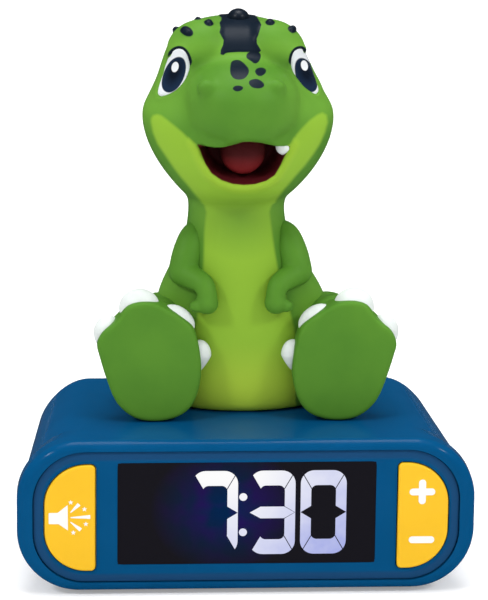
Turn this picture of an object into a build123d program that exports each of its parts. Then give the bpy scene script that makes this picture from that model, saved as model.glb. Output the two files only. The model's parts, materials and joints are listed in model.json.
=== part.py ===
from build123d import *
import math
import os

# A child's alarm clock: a two-shell base with a digital display, and a hollow vinyl
# dinosaur that sits on it and lights up from inside.
# Millimetres. X to the viewer's right, Y to the back, Z up. The origin lies on the
# table, under the middle of the base.

# ---- Base, outer form ----
base_width = 165.0
rear_draw_in = 4.5
base_depth = 87.0
base_top = 58.0
foot_height = 1.5
outline_corner = 22.5
rim_depth = 9.0
shoulder_depth = 8.0
shoulder_step = 1.8
rim_round = 3.5
rear_round = 8.0
wall = 2.4
rear_shell_depth = 19.5
lip_depth = 3.0
lip_wall = 1.2

# ---- Clearances ----
fixed_gap = 0.1
key_gap = 0.4
turn_gap = 0.05
slide_gap = 0.2

# ---- Face panel and display ----
panel_side_margin = 6.0
panel_edge_margin = 3.9
panel_groove = 0.4
panel_thickness = 2.5
panel_recess = 0.3
panel_slope_width = 3.0
panel_slope_depth = 0.6
panel_ledge = 2.0
ledge_depth = 2.0
window_height = 38.2
window_corner = 1.6
window_flange = 1.2
window_recess = 0.2
window_lift = 1.3
display_side_margin = 2.4
display_height = 34.0
display_gap = 0.3

# ---- Front keys ----
key_side_margin = 9.9
key_width = 18.2
key_to_window = 8.0
key_height = 39.8
key_inner_corner = 1.6
key_outer_corner = 15.0
key_proud = 1.1
key_wall = 1.4
key_edge_round = 0.8
key_flange = 1.0
key_flange_lip = 0.5
sound_travel = 1.0
rocker_angle = 3.5
rocker_pin_radius = 1.4
rocker_pin_length = 2.0
rocker_ear_wall = 1.3

# ---- Boards and switches ----
board_thickness = 1.6
board_post_radius = 2.5
board_post_spread = 30.0
board_side_margin = 11.5
main_board_height = 42.0
board_corner = 4.0
board_offset = 8.0
switch_size = 6.0
switch_height = 3.5
actuator_radius = 1.75
actuator_height = 1.5
rocker_switch_offset = 13.0
plunger_radius = 2.0

# ---- Rear shell: keys, slide switch, socket ----
rear_key_radius = 4.5
rear_key_proud = 0.8
rear_key_flange = 0.9
rear_key_flange_lip = 0.8
rear_key_travel = 1.0
rear_key_height = 38.0
rear_key_margin = 28.0
rear_key_pitch = 16.0
rear_board_margin = 5.0
rear_board_end = 13.0
rear_board_low = 9.0
rear_board_high = 50.0
rear_board_gap = 8.4
slide_switch_offset = 18.0
slide_switch_z = 38.0
slide_travel = 4.0
slide_knob_width = 4.0
slide_knob_height = 3.0
socket_z = 16.0
socket_width = 8.94
socket_height = 3.26
socket_wall = 0.3
socket_depth = 6.5

# ---- Speaker ----
speaker_margin = 37.0
speaker_radius = 18.0
speaker_depth = 8.5
speaker_collar_wall = 1.5
grille_hole_radius = 1.2
grille_pitch = 4.2
grille_rings = 3
speaker_rim_width = 2.0
speaker_sheet = 1.2
basket_rise = 3.0
magnet_radius = 9.0
magnet_height = 6.0
cone_sheet = 0.5
cone_surround = 1.0
cone_depth = 4.6
cone_dish_radius = 6.0
cone_dish_depth = 3.0

# ---- Screws ----
screw_radius = 1.25
screw_head_radius = 2.4
screw_head_height = 1.5
screw_length = 9.0
post_radius = 3.9
post_rib = 2.0
housing_screw_margin = 22.0
housing_screw_spread = 33.0

# ---- Battery bay, in the floor of the front shell ----
cell_length = 44.5
cell_radius = 5.25
cell_count = 3
cell_gap = 0.3
bay_spring_room = 7.5
bay_centre_y = -4.0
bay_wall = 1.6
door_thickness = 2.2
door_end = 8.0
door_side = 2.0
door_corner = 3.0
door_pad = 1.8
plate_thickness = 0.5

# ---- Feet ----
foot_radius = 5.0
foot_side_margin = 33.5
foot_end_margin = 13.5
foot_socket = 0.8

# ---- Figure ----
skin = 2.4
neck_height = 136.0
# the figure leans a little to the left: its feet, arms and head lie off the middle plane
feet_offset = 1.0
arm_offset = -0.9
head_offset = -2.1
# height, middle, half width, front, back of each level
torso_levels = [
    (base_top, feet_offset, 28.0, -6.0, 28.0),
    (68.0, feet_offset, 33.0, -10.5, 31.0),
    (82.0, 0.9, 34.0, -11.5, 30.5),
    (98.0, 0.2, 31.0, -10.0, 28.5),
    (108.0, -0.6, 27.0, -9.2, 26.6),
    (116.0, -1.3, 22.8, -8.7, 24.6),
    (126.0, -1.9, 18.9, -8.4, 22.0),
    (neck_height, head_offset, 18.2, -8.5, 20.5),
]
head_levels = [
    (neck_height, 0, 18.2, -8.5, 20.5),
    (142.2, 0, 22.4, -17.5, 20.0),
    (150.0, 0, 28.2, -24.4, 20.3),
    (159.0, 0, 33.0, -25.8, 22.3),
    (168.0, 0, 34.9, -23.8, 25.0),
    (175.5, 0, 31.8, -20.0, 26.3),
    (184.0, 0, 27.4, -16.2, 26.4),
    (193.0, 0, 24.6, -12.4, 25.0),
    (200.0, 0, 18.4, -7.6, 20.6),
    (203.8, 0, 9.5, -2.5, 14.5),
    (205.0, 0, 3.0, 3.0, 9.0),
]
snout_centre = (0.0, -14.0, 177.0)
snout_radius = 20.5
snout_half_height = 14.8
brow_centre = (14.6, -2.0, 193.6)
brow_radius = 11.4
brow_half_depth = 10.5
nostril_centre = (12.2, -28.2, 184.4)
nostril_radius = 2.9
mouth_centre = (0.0, -24.0, 161.0)
mouth_radius = 17.2
mouth_half_height = 12.5
mouth_roof_rise = 3.8
tongue_back = 9.0
tongue_drop = 8.5
tongue_radius = 8.2
tongue_half_height = 4.6
head_hollow_centre = (0.0, 4.0, 173.0)
head_hollow_radius = 19.5
tooth_side = 12.6
tooth_back = 1.5
tooth_length = 3.6
tooth_radii = (2.8, 1.0)
eye_centre = (15.9, 0.2, 182.6)
eye_radius = 12.6
foot_front = -20.0
foot_thickness = 12.0
sole_round = 2.0
# each sole is the band round these circles
toe_circles = [(38.3, 92.0, 11.2), (28.0, 89.2, 10.0), (45.0, 89.0, 9.4)]
heel_circles = [(37.0, 70.5, 12.3), (29.5, 72.5, 13.0)]
thigh_centre = (30.0, 6.0, 79.0)
thigh_radius = 21.2
thigh_half_width = 16.5
shoulder = (18.3, 4.0, 121.0)
elbow = (20.4, -2.5, 111.4)
wrist = (15.4, -11.0, 106.6)
palm = (13.6, -12.8, 101.8)
arm_radii = (7.2, 6.2, 4.9, 5.1)
tail_points = [(0.0, 24.0, 70.0), (0.0, 33.5, 66.5), (2.5, 38.0, 72.0), (4.5, 39.5, 81.0)]
tail_radii = (12.0, 8.0, 5.0, 2.0)
# each claw of the right foot: centre, radius across, half length, the way it points
claw_shapes = [
    ((38.0, -13.2, 100.0), 6.4, 7.2, (0, 0, 1)),
    ((25.4, -13.2, 96.4), 4.7, 6.0, (-0.3, 0, 1)),
    ((49.6, -13.2, 91.2), 4.6, 6.0, (0.8, 0, 1)),
    ((17.2, -12.6, 82.4), 4.3, 5.2, (-1, 0, -0.4)),
]
scute_count = 13
scute_radius = 4.8
scute_width = 7.0
scute_bevel = 1.4
scute_sink = 1.8

# ---- Night light ----
seat_height = 6.0
seat_wall = 2.0
seat_gap = 0.15
seat_screw_x = 16.0
light_board_radius = 13.8
light_screw_offset = 11.3
diffuser_radius = 8.8
diffuser_height = 34.0
diffuser_wall = 1.4
diode_size = 2.6
diode_height = 1.4
diode_count = 6
diode_ring = 5.0

# ---- Worked out from the values above ----
front_y = -base_depth / 2
rear_y = base_depth / 2
split_y = rear_y - rear_shell_depth
shell_height = base_top - foot_height
middle_z = foot_height + shell_height / 2
floor_z = foot_height + wall
ceiling_z = base_top - wall
rear_width = base_width - 2 * rear_draw_in
panel_front = front_y + panel_recess
panel_back = panel_front + panel_thickness
panel_width = base_width - 2 * panel_side_margin
panel_height = shell_height - 2 * panel_edge_margin
panel_corner = outline_corner - panel_edge_margin
board_front = panel_back + board_offset
board_back = board_front + board_thickness
key_outer_edge = base_width / 2 - key_side_margin
key_inner_edge = key_outer_edge - key_width
key_centre_x = key_outer_edge - key_width / 2
window_width = 2 * (key_inner_edge - key_to_window)
display_width = window_width - 2 * display_side_margin
board_post_x = key_inner_edge - key_to_window / 2
main_board_width = base_width - 2 * board_side_margin
housing_screw_x = base_width / 2 - housing_screw_margin
foot_x = base_width / 2 - foot_side_margin
foot_y = base_depth / 2 - foot_end_margin
key_front = front_y - key_proud + panel_recess
actuator_front = board_front - switch_height - actuator_height
rocker_axis_y = panel_back + rocker_pin_radius + rocker_ear_wall
rear_inner = rear_y - wall
rear_board_front = rear_inner - rear_board_gap
rear_board_back = rear_board_front - board_thickness
rear_actuator = rear_board_front + switch_height + actuator_height
rear_key_front = rear_y + rear_key_proud
first_key_x = rear_key_margin - rear_width / 2
rear_key_names = ["mode_key", "alarm_key", "light_key"]
rear_key_columns = {name: first_key_x + rear_key_pitch * step for step, name in enumerate(rear_key_names)}
slide_switch_x = rear_key_columns["light_key"] + slide_switch_offset
rear_board_left = first_key_x - rear_board_margin
rear_board_right = slide_switch_x + rear_board_end
socket_x = rear_key_columns["alarm_key"]
speaker_x = rear_width / 2 - speaker_margin
door_top = foot_height + door_thickness
cell_z = door_top + cell_gap + cell_radius
bay_length = cell_length + bay_spring_room
bay_width = cell_count * 2 * cell_radius + (cell_count + 1) * cell_gap
bay_roof = cell_z + cell_radius + cell_gap
door_length = bay_length + 2 * door_end
door_width = bay_width + 2 * door_side
door_screw_x = bay_length / 2 + bay_wall + screw_head_radius
seat_top = base_top + seat_height
seat_centre_y = (torso_levels[0][3] + torso_levels[0][4]) / 2
mouth_x, mouth_y, mouth_z = mouth_centre
mouth_roof = mouth_z + mouth_roof_rise


def facing(y):
    """Drawing plane parallel to the front, at depth y, with X right and Z up."""
    return Plane(origin=(0, y, 0), x_dir=(1, 0, 0), z_dir=(0, -1, 0))


def slab(outline, front, back):
    """Outline drawn in X and Z, made solid from depth front to depth back."""
    return extrude(facing(back) * outline, amount=back - front, dir=(0, -1, 0))


def upright(outline, low, high):
    """Outline drawn in X and Y, made solid from height low to height high."""
    return extrude(Pos(0, 0, low) * outline, amount=high - low)


def rod(x, z, radius, front, back):
    return slab(Pos(x, z) * Circle(radius), front, back)


def spheroid(centre, across, along, axis=(0, 0, 1)):
    """Egg of one round section: half width across, half length along its axis."""
    egg = scale(Sphere(1.0), by=(across, across, along))
    return Plane(origin=centre, z_dir=axis) * egg


def group(shapes):
    """Separate solids that share one node."""
    return Compound(children=[solid for shape in shapes for solid in shape.solids()])


def mirrored(shape):
    return mirror(shape, about=Plane.YZ)


def limb(points, radii):
    """Rounded limb: balls along the points, joined by the cones that touch them."""
    body = Pos(*points[0]) * Sphere(radii[0])
    for start, end, wide, narrow in zip(points, points[1:], radii, radii[1:]):
        a = Vector(*start)
        b = Vector(*end)
        length = (b - a).length
        lean = (wide - narrow) / length
        grip = math.sqrt(1 - lean * lean)
        along = (b - a).normalized()
        low = a + along * (wide * lean)
        high = b + along * (narrow * lean)
        on_base = (Align.CENTER, Align.CENTER, Align.MIN)
        cone = Cone(wide * grip, narrow * grip, (high - low).length, align=on_base)
        body = body + Plane(origin=low, z_dir=along) * cone
        body = body + Pos(*end) * Sphere(narrow)
    return body


# ---- Base ----

def sheared(outline, front, back, sideways):
    """Outline pushed back from depth front to depth back while it slides sideways."""
    length = math.hypot(back - front, sideways)
    return extrude(facing(front) * outline, amount=length, dir=(sideways, back - front, 0))


def tapered(width, front, back, step, inset):
    """Stretch of the base that draws in by step on each side between two depths."""
    outline = RectangleRounded(width - 2 * inset, shell_height - 2 * inset, outline_corner - inset)
    placed = Pos(0, middle_z) * outline
    return sheared(placed, front, back, step) & sheared(placed, front, back, -step)


def base_form(inset):
    """Outer form of the base, drawn in by inset: rim, shoulder, tapered body, rounded edges."""
    rim_back = front_y + rim_depth
    shoulder_back = rim_back + shoulder_depth
    body_width = base_width - 2 * shoulder_step
    lean = (body_width - rear_width) / 2 * (rear_y - inset - shoulder_back) / (rear_y - shoulder_back)
    rim = tapered(base_width, front_y + inset, rim_back, 0, inset)
    shoulder = tapered(base_width, rim_back, shoulder_back, shoulder_step, inset)
    form = rim + shoulder + tapered(body_width, shoulder_back, rear_y - inset, lean, inset)
    form = fillet(form.faces().sort_by(Axis.Y)[-1].edges(), max(rear_round - inset, fixed_gap))
    return fillet(form.faces().sort_by(Axis.Y)[0].edges(), max(rim_round - inset, fixed_gap))


def depth_range(front, back):
    """Box as wide and high as the base, to keep only the part between two depths."""
    return slab(Pos(0, middle_z) * Rectangle(base_width * 2, base_top * 2), front, back)


def panel_outline(grow):
    outline = RectangleRounded(panel_width + 2 * grow, panel_height + 2 * grow, panel_corner + grow)
    return Pos(0, middle_z) * outline


def key_outline(side, grow):
    """D-shaped key: tight corners towards the display, full ones outside."""
    width = key_width + 2 * grow
    height = key_height + 2 * grow
    shape = Rectangle(width, height)
    ends = shape.vertices().sort_by(Axis.X)
    shape = fillet(ends[:2], max(key_inner_corner + grow, fixed_gap))
    ends = shape.vertices().sort_by(Axis.X)
    shape = fillet(ends[-2:], key_outer_corner + grow)
    placed = Pos(key_centre_x, middle_z) * shape
    return placed if side > 0 else mirrored(placed)


def window_outline(grow):
    outline = RectangleRounded(window_width + 2 * grow, window_height + 2 * grow, window_corner)
    return Pos(0, middle_z + window_lift) * outline


def housing_screw_places():
    for x in (-housing_screw_x, housing_screw_x):
        for z in (middle_z - housing_screw_spread / 2, middle_z + housing_screw_spread / 2):
            yield x, z


def foot_places(y):
    return [(-foot_x, y), (foot_x, y)]


def door_screw_places():
    return [(-door_screw_x, bay_centre_y), (door_screw_x, bay_centre_y)]


def foot_sockets(y):
    sockets = [Pos(x, depth) * Circle(foot_radius + fixed_gap) for x, depth in foot_places(y)]
    return upright(Sketch() + sockets, foot_height, foot_height + foot_socket)


def bay_outline(grow):
    return Pos(0, bay_centre_y) * Rectangle(bay_length + 2 * grow, bay_width + 2 * grow)


def door_outline(grow):
    outline = RectangleRounded(door_length + 2 * grow, door_width + 2 * grow, door_corner + grow)
    return Pos(0, bay_centre_y) * outline


def front_shell():
    shell = base_form(0) - base_form(wall)
    shell = shell & depth_range(front_y, split_y)
    ledge = base_form(wall / 2) & depth_range(panel_back, panel_back + ledge_depth)
    ledge = ledge - slab(panel_outline(panel_groove - panel_ledge), panel_back, panel_back + ledge_depth)
    shell = shell + ledge
    shell = shell - slab(panel_outline(panel_groove), front_y, panel_back)
    for x, z in housing_screw_places():
        post_front = split_y - screw_length - wall
        shell = shell + rod(x, z, post_radius, post_front, split_y)
        edge = floor_z if z < middle_z else ceiling_z
        rib = Pos(x, (z + edge) / 2) * Rectangle(post_rib, abs(edge - z))
        shell = shell + slab(rib, post_front, split_y - lip_depth - fixed_gap)
    # battery bay: a box over the cells, on a pad that takes the door
    pad_top = door_top + door_pad
    shell = shell + upright(door_outline(door_side), foot_height, pad_top)
    shell = shell + upright(bay_outline(bay_wall), foot_height, bay_roof + bay_wall)
    for x, y in door_screw_places():
        shell = shell + upright(Pos(x, y) * Circle(post_radius), foot_height, bay_roof)
    shell = shell - upright(bay_outline(0), foot_height, bay_roof)
    shell = shell - upright(door_outline(slide_gap), foot_height, door_top)
    for x, y in door_screw_places():
        shell = shell - upright(Pos(x, y) * Circle(screw_radius + turn_gap), foot_height, bay_roof - wall)
    for x, z in housing_screw_places():
        shell = shell - rod(x, z, screw_radius + turn_gap, split_y - screw_length, split_y)
    # seat screws and the lamp lead pass through the top
    for x, y in seat_screw_places():
        shell = shell - upright(Pos(x, y) * Circle(screw_radius + fixed_gap), ceiling_z - 1, base_top + 1)
    shell = shell - upright(Pos(feet_offset, seat_centre_y) * Circle(post_radius), ceiling_z - 1, base_top + 1)
    return shell - foot_sockets(-foot_y)


def rear_shell():
    shell = base_form(0) - base_form(wall)
    shell = shell & depth_range(split_y, rear_y)
    lip_inset = wall + fixed_gap
    inside = base_form(lip_inset + lip_wall)
    lip = (base_form(lip_inset) - inside) & depth_range(split_y - lip_depth, split_y + lip_wall)
    root = (base_form(wall / 2) - inside) & depth_range(split_y, split_y + lip_wall)
    shell = shell + root + lip
    for x, z in housing_screw_places():
        shell = shell + rod(x, z, post_radius, split_y, rear_inner)
        shell = shell - rod(x, z, screw_head_radius + fixed_gap, split_y + wall, rear_y)
        shell = shell - rod(x, z, screw_radius + fixed_gap, split_y, rear_y)
    for x, z in rear_board_posts():
        shell = shell + rod(x, z, board_post_radius, rear_board_front, rear_inner)
        shell = shell - rod(x, z, screw_radius + turn_gap, rear_board_front, rear_inner - 1)
    collar_front = rear_inner - speaker_depth / 2
    collar_bore = speaker_radius + fixed_gap
    shell = shell + rod(speaker_x, middle_z, collar_bore + speaker_collar_wall, collar_front, rear_inner)
    shell = shell - rod(speaker_x, middle_z, collar_bore, collar_front, rear_inner)
    shell = shell - grille_holes()
    for x in rear_key_columns.values():
        shell = shell - rod(x, rear_key_height, rear_key_radius + key_gap, rear_inner, rear_y)
    slot_width = slide_knob_width + slide_travel + 2 * slide_gap
    slot = RectangleRounded(slot_width, slide_knob_height + 2 * slide_gap, slide_gap)
    slot_place = Pos(slide_switch_x + slide_travel / 2, slide_switch_z)
    shell = shell - slab(slot_place * slot, rear_inner, rear_y)
    socket_hole = RectangleRounded(socket_width + 2 * key_gap, socket_height + 2 * key_gap, socket_height / 2)
    shell = shell - slab(Pos(socket_x, socket_z) * socket_hole, rear_inner, rear_y)
    return shell - foot_sockets(foot_y)


def grille_holes():
    """Round holes in rings about the speaker's axis."""
    holes = rod(speaker_x, middle_z, grille_hole_radius, rear_inner, rear_y)
    for ring in range(1, grille_rings + 1):
        count = 6 * ring
        for step in range(count):
            angle = 2 * math.pi * step / count
            x = speaker_x + ring * grille_pitch * math.cos(angle)
            z = middle_z + ring * grille_pitch * math.sin(angle)
            holes = holes + rod(x, z, grille_hole_radius, rear_inner, rear_y)
    return holes


def board_post_places():
    for x in (-board_post_x, board_post_x):
        for z in (middle_z - board_post_spread / 2, middle_z + board_post_spread / 2):
            yield x, z


def face_panel():
    panel = slab(panel_outline(0), panel_front, panel_back)
    panel = panel - slab(window_outline(fixed_gap), panel_front, panel_back)
    for side in (-1, 1):
        panel = panel - slab(key_outline(side, key_gap), panel_front, panel_back)
    face = panel.faces().sort_by(Axis.Y)[0]
    panel = chamfer(face.outer_wire().edges(), panel_slope_depth, panel_slope_width)
    for x, z in board_post_places():
        panel = panel + rod(x, z, board_post_radius, panel_back, board_front)
        panel = panel - rod(x, z, screw_radius + turn_gap, panel_back, board_front)
    for x in rocker_ear_places():
        panel = panel + rocker_ear(x)
    return panel


def rocker_ear_places():
    inner = key_inner_edge - rocker_pin_length + rocker_ear_wall / 2
    outer = key_outer_edge + rocker_pin_length - rocker_ear_wall / 2
    return inner, outer


def rocker_ear(x):
    """Ear behind the panel, with the hole that one pin of the rocker turns in."""
    radius = rocker_pin_radius + rocker_ear_wall
    face = Pos(rocker_axis_y, middle_z) * Circle(radius)
    foot = Pos((rocker_axis_y + panel_back) / 2, middle_z) * Rectangle(rocker_axis_y - panel_back, 2 * radius)
    hole = Pos(rocker_axis_y, middle_z) * Circle(rocker_pin_radius + turn_gap)
    outline = face + foot - hole
    side_plane = Plane(origin=(x - rocker_ear_wall / 2, 0, 0), x_dir=(0, 1, 0), z_dir=(1, 0, 0))
    return extrude(side_plane * outline, amount=rocker_ear_wall)


def display_window():
    flange_back = panel_back + window_flange
    window = slab(window_outline(0), panel_front + window_recess, flange_back)
    tall = Rectangle(window_width - 2 * wall, window_height + 2 * window_flange)
    return window + slab(Pos(0, middle_z + window_lift) * tall, panel_back, flange_back)


def display_module():
    front = panel_back + window_flange + display_gap
    outline = Pos(0, middle_z + window_lift) * Rectangle(display_width, display_height)
    return chamfer(slab(outline, front, board_front).edges().group_by(Axis.Y)[0], 0.6)


def key_cap(side):
    """Hollow cap of a front key: a domed front edge, a skirt and a closed face."""
    back = panel_back + key_flange
    cap = slab(key_outline(side, 0), key_front, back)
    cap = fillet(cap.faces().sort_by(Axis.Y)[0].outer_wire().edges(), key_edge_round)
    return cap - slab(key_outline(side, -key_wall), key_front + key_wall, back)


def sound_button():
    back = panel_back + fixed_gap + key_flange
    cap = key_cap(-1)
    flange = key_outline(-1, key_gap + key_flange_lip)
    collar = slab(flange, panel_back + fixed_gap, back)
    collar = collar - slab(key_outline(-1, -key_wall), panel_back, back)
    plunger_back = actuator_front - sound_travel - fixed_gap
    plunger = rod(-key_centre_x, middle_z, plunger_radius, key_front + key_wall, plunger_back)
    web = Pos(-key_centre_x, middle_z) * Rectangle(key_wall, key_height - key_wall)
    rib = slab(web & key_outline(-1, -key_wall / 2), key_front + key_wall, panel_back)
    return cap + collar + plunger + rib


def plus_minus_button():
    cap = key_cap(1)
    beam = Pos(key_centre_x, middle_z) * Rectangle(key_width - key_wall, 2 * key_wall)
    cap = cap + slab(beam, key_front + key_wall, rocker_axis_y)
    pins = Plane(origin=(key_inner_edge - rocker_pin_length, rocker_axis_y, middle_z), z_dir=(1, 0, 0))
    length = key_width + 2 * rocker_pin_length
    cap = cap + extrude(pins * Circle(rocker_pin_radius), amount=length)
    reach = rocker_switch_offset * math.tan(math.radians(rocker_angle))
    plunger_back = actuator_front - reach - slide_gap
    for offset in (-rocker_switch_offset, rocker_switch_offset):
        cap = cap + rod(key_centre_x, middle_z + offset, plunger_radius, key_front + key_wall, plunger_back)
    return cap


def front_switch_places():
    yield -key_centre_x, middle_z
    yield key_centre_x, middle_z - rocker_switch_offset
    yield key_centre_x, middle_z + rocker_switch_offset


def front_switches():
    switches = []
    for x, z in front_switch_places():
        body = slab(Pos(x, z) * Rectangle(switch_size, switch_size), board_front - switch_height, board_front)
        switches.append(body + rod(x, z, actuator_radius, actuator_front, board_front - switch_height))
    return group(switches)


def main_board():
    outline = Pos(0, middle_z) * RectangleRounded(main_board_width, main_board_height, board_corner)
    board = slab(outline, board_front, board_back)
    for x, z in board_post_places():
        board = board - rod(x, z, screw_radius + turn_gap, board_front, board_back)
    return board


def screw(place, length):
    """Pan-head screw: its head's outer face on the plane, its point along the plane's normal."""
    head = Cylinder(screw_head_radius, screw_head_height, align=(Align.CENTER, Align.CENTER, Align.MIN))
    shank = Cylinder(screw_radius, length, align=(Align.CENTER, Align.CENTER, Align.MIN))
    return place * (head + shank)


def forward_screw(x, z, head_y, tip_y):
    """Screw driven towards the front, its head at the back."""
    return screw(facing(head_y) * Pos(x, z), head_y - tip_y)


def backward_screw(x, z, head_y, tip_y):
    """Screw driven towards the back, its head in front."""
    return screw(Plane(origin=(x, head_y, z), z_dir=(0, 1, 0)), tip_y - head_y)


def upward_screw(x, y, head_z, tip_z):
    return screw(Plane(origin=(x, y, head_z)), tip_z - head_z)


def main_board_screws():
    head = board_back + screw_head_height
    return group([forward_screw(x, z, head, panel_back + 1.0) for x, z in board_post_places()])


def housing_screws():
    head = split_y + wall + screw_head_height
    tip = split_y - screw_length + 1.0
    return group([forward_screw(x, z, head, tip) for x, z in housing_screw_places()])


def rear_board_posts():
    for x in (rear_board_left + board_post_radius + 1, rear_board_right - board_post_radius - 1):
        for z in (rear_board_low + board_post_radius + 1, rear_board_high - board_post_radius - 1):
            yield x, z


def rear_board():
    width = rear_board_right - rear_board_left
    height = rear_board_high - rear_board_low
    place = Pos((rear_board_left + rear_board_right) / 2, (rear_board_low + rear_board_high) / 2)
    board = slab(place * Rectangle(width, height), rear_board_back, rear_board_front)
    for x, z in rear_board_posts():
        board = board - rod(x, z, screw_radius + turn_gap, rear_board_back, rear_board_front)
    return board


def rear_board_screws():
    head = rear_board_back - screw_head_height
    return group([backward_screw(x, z, head, rear_inner - 1.5) for x, z in rear_board_posts()])


def rear_key(x):
    cap = rod(x, rear_key_height, rear_key_radius, rear_inner - fixed_gap, rear_key_front)
    cap = chamfer(cap.faces().sort_by(Axis.Y)[-1].edges(), 0.5)
    flange_back = rear_inner - fixed_gap
    flange_radius = rear_key_radius + key_gap + rear_key_flange_lip
    flange = rod(x, rear_key_height, flange_radius, flange_back - rear_key_flange, flange_back)
    stem_end = rear_actuator + rear_key_travel + slide_gap
    return cap + flange + rod(x, rear_key_height, plunger_radius, stem_end, flange_back)


def rear_switches():
    switches = []
    for x in rear_key_columns.values():
        place = Pos(x, rear_key_height)
        top = rear_board_front + switch_height
        body = slab(place * Rectangle(switch_size, switch_size), rear_board_front, top)
        switches.append(body + rod(x, rear_key_height, actuator_radius, top, rear_actuator))
    return group(switches)


def alarm_switch_body():
    length = slide_knob_width + slide_travel + 2 * wall
    place = Pos(slide_switch_x + slide_travel / 2, slide_switch_z)
    top = rear_board_front + switch_height
    body = slab(place * Rectangle(length, switch_size), rear_board_front, top)
    well = Rectangle(slide_knob_width + slide_travel + 2 * slide_gap, slide_knob_height + 2 * slide_gap)
    return body - slab(place * well, top - wall, top)


def alarm_switch_knob():
    place = Pos(slide_switch_x, slide_switch_z)
    foot = rear_board_front + switch_height - wall + slide_gap
    stem = slab(place * Rectangle(slide_knob_width, slide_knob_height), foot, rear_key_front)
    ridges = stem.faces().sort_by(Axis.Y)[-1].edges()
    return chamfer(ridges, 0.3)


def usb_socket():
    """Upright USB-C socket: a rounded metal shell with a tongue in it."""
    outer = RectangleRounded(socket_width, socket_height, socket_height / 2 - 0.01)
    inner_height = socket_height - 2 * socket_wall
    inner = RectangleRounded(socket_width - 2 * socket_wall, inner_height, inner_height / 2 - 0.01)
    place = Pos(socket_x, socket_z)
    mouth = rear_y - key_gap
    shell = slab(place * outer, rear_board_front, mouth)
    shell = shell - slab(place * inner, mouth - socket_depth, mouth)
    tongue = Rectangle(socket_width - 2 * socket_height / 3, socket_height / 4)
    return shell + slab(place * tongue, mouth - socket_depth, mouth - 4 * socket_wall)


# ---- Speaker, built about its own axis, facing the rear grille ----

def speaker_turned(profile):
    """Profile drawn as radius and depth behind the grille, turned about the speaker's axis."""
    spun = revolve(Plane.XZ * profile, Axis.Z)
    return Pos(speaker_x, rear_inner, middle_z) * Rot(X=-90) * spun


def speaker_frame():
    """Pressed basket: a rim behind the grille, sloping arms, and a floor on the magnet."""
    rim = speaker_radius
    lip = rim - speaker_rim_width
    floor = -speaker_depth + speaker_sheet
    middle = magnet_radius - basket_rise
    basket = Polygon(
        (rim, 0), (lip, 0), (lip, -speaker_sheet), (magnet_radius + speaker_sheet, floor),
        (middle, floor), (middle, -speaker_depth), (magnet_radius + 2 * speaker_sheet, -speaker_depth),
        (rim, -2 * speaker_sheet), align=None)
    return speaker_turned(basket)


def speaker_cone():
    """Paper cone with its dust dish, hung in the rim by a flat surround."""
    rim = speaker_radius - speaker_rim_width
    hinge = rim - speaker_rim_width - cone_surround
    skin_line = Polygon(
        (rim - turn_gap, -speaker_sheet), (hinge, -speaker_sheet), (cone_dish_radius, -cone_depth),
        (0, -cone_dish_depth), (0, -cone_dish_depth - cone_sheet), (cone_dish_radius, -cone_depth - cone_sheet),
        (hinge, -speaker_sheet - cone_sheet), (rim - cone_surround, -speaker_sheet - cone_sheet), align=None)
    return speaker_turned(skin_line)


def speaker_magnet():
    cup = Rectangle(magnet_radius, magnet_height, align=(Align.MIN, Align.MAX))
    return speaker_turned(Pos(0, -speaker_depth) * cup)


# ---- Battery bay contents and door ----

def cell_rows():
    pitch = 2 * cell_radius + cell_gap
    for row in range(cell_count):
        yield row, bay_centre_y + (row - (cell_count - 1) / 2) * pitch


def along_x(radius, start, end, y, z):
    disc = Plane(origin=(start, y, z), z_dir=(1, 0, 0)) * Circle(radius)
    return extrude(disc, amount=end - start)


def cell_ends(row):
    """Ends of a cell's can and its contact knob; every other row lies the other way."""
    way = 1 if row % 2 == 0 else -1
    knob_tip = way * (bay_length / 2 - plate_thickness - fixed_gap)
    can_end = knob_tip - way * 0.8
    return knob_tip, can_end, knob_tip - way * cell_length


def aaa_cells():
    cells = []
    for row, y in cell_rows():
        knob_tip, can_end, base_end = cell_ends(row)
        can = along_x(cell_radius, min(can_end, base_end), max(can_end, base_end), y, cell_z)
        knob = along_x(1.9, min(can_end, knob_tip), max(can_end, knob_tip), y, cell_z)
        cells.append(can + knob)
    return group(cells)


def contact_plates():
    plates = []
    height = 2 * cell_radius - 1.0
    for row, y in cell_rows():
        for end in (-1, 1):
            x = end * (bay_length - plate_thickness) / 2
            plates.append(Pos(x, y, cell_z) * Box(plate_thickness, height, height))
    return group(plates)


def contact_leaves():
    """Bent spring leaves that press each cell's flat end."""
    leaves = []
    for row, y in cell_rows():
        knob_tip, can_end, base_end = cell_ends(row)
        way = 1 if base_end > 0 else -1
        wall_face = way * (bay_length / 2 - plate_thickness)
        tip = base_end + way * fixed_gap
        rise = cell_radius / 2
        outer = [(wall_face, cell_z - rise), (tip, cell_z), (wall_face, cell_z + rise)]
        inner = [(x + way * 2 * plate_thickness, z) for x, z in outer[1:2]]
        near = [(wall_face, cell_z + rise - plate_thickness), (wall_face, cell_z - rise + plate_thickness)]
        bent = Polygon(*outer, near[0], *inner, near[1], align=None)
        leaves.append(slab(bent, y - rise, y + rise))
    return group(leaves)


def battery_door():
    door = upright(door_outline(0), foot_height, door_top)
    head_top = foot_height + screw_head_height
    for x, y in door_screw_places():
        door = door - upright(Pos(x, y) * Circle(screw_head_radius + turn_gap), foot_height, head_top)
        door = door - upright(Pos(x, y) * Circle(screw_radius + turn_gap), foot_height, door_top)
    # dimple for a fingertip
    dimple = Pos(0, bay_centre_y - door_width / 2 + 5, foot_height) * Cylinder(4, 1.2)
    return door - dimple


def door_screw(side):
    return upward_screw(side * door_screw_x, bay_centre_y, foot_height, bay_roof - wall - 1.0)


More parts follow.
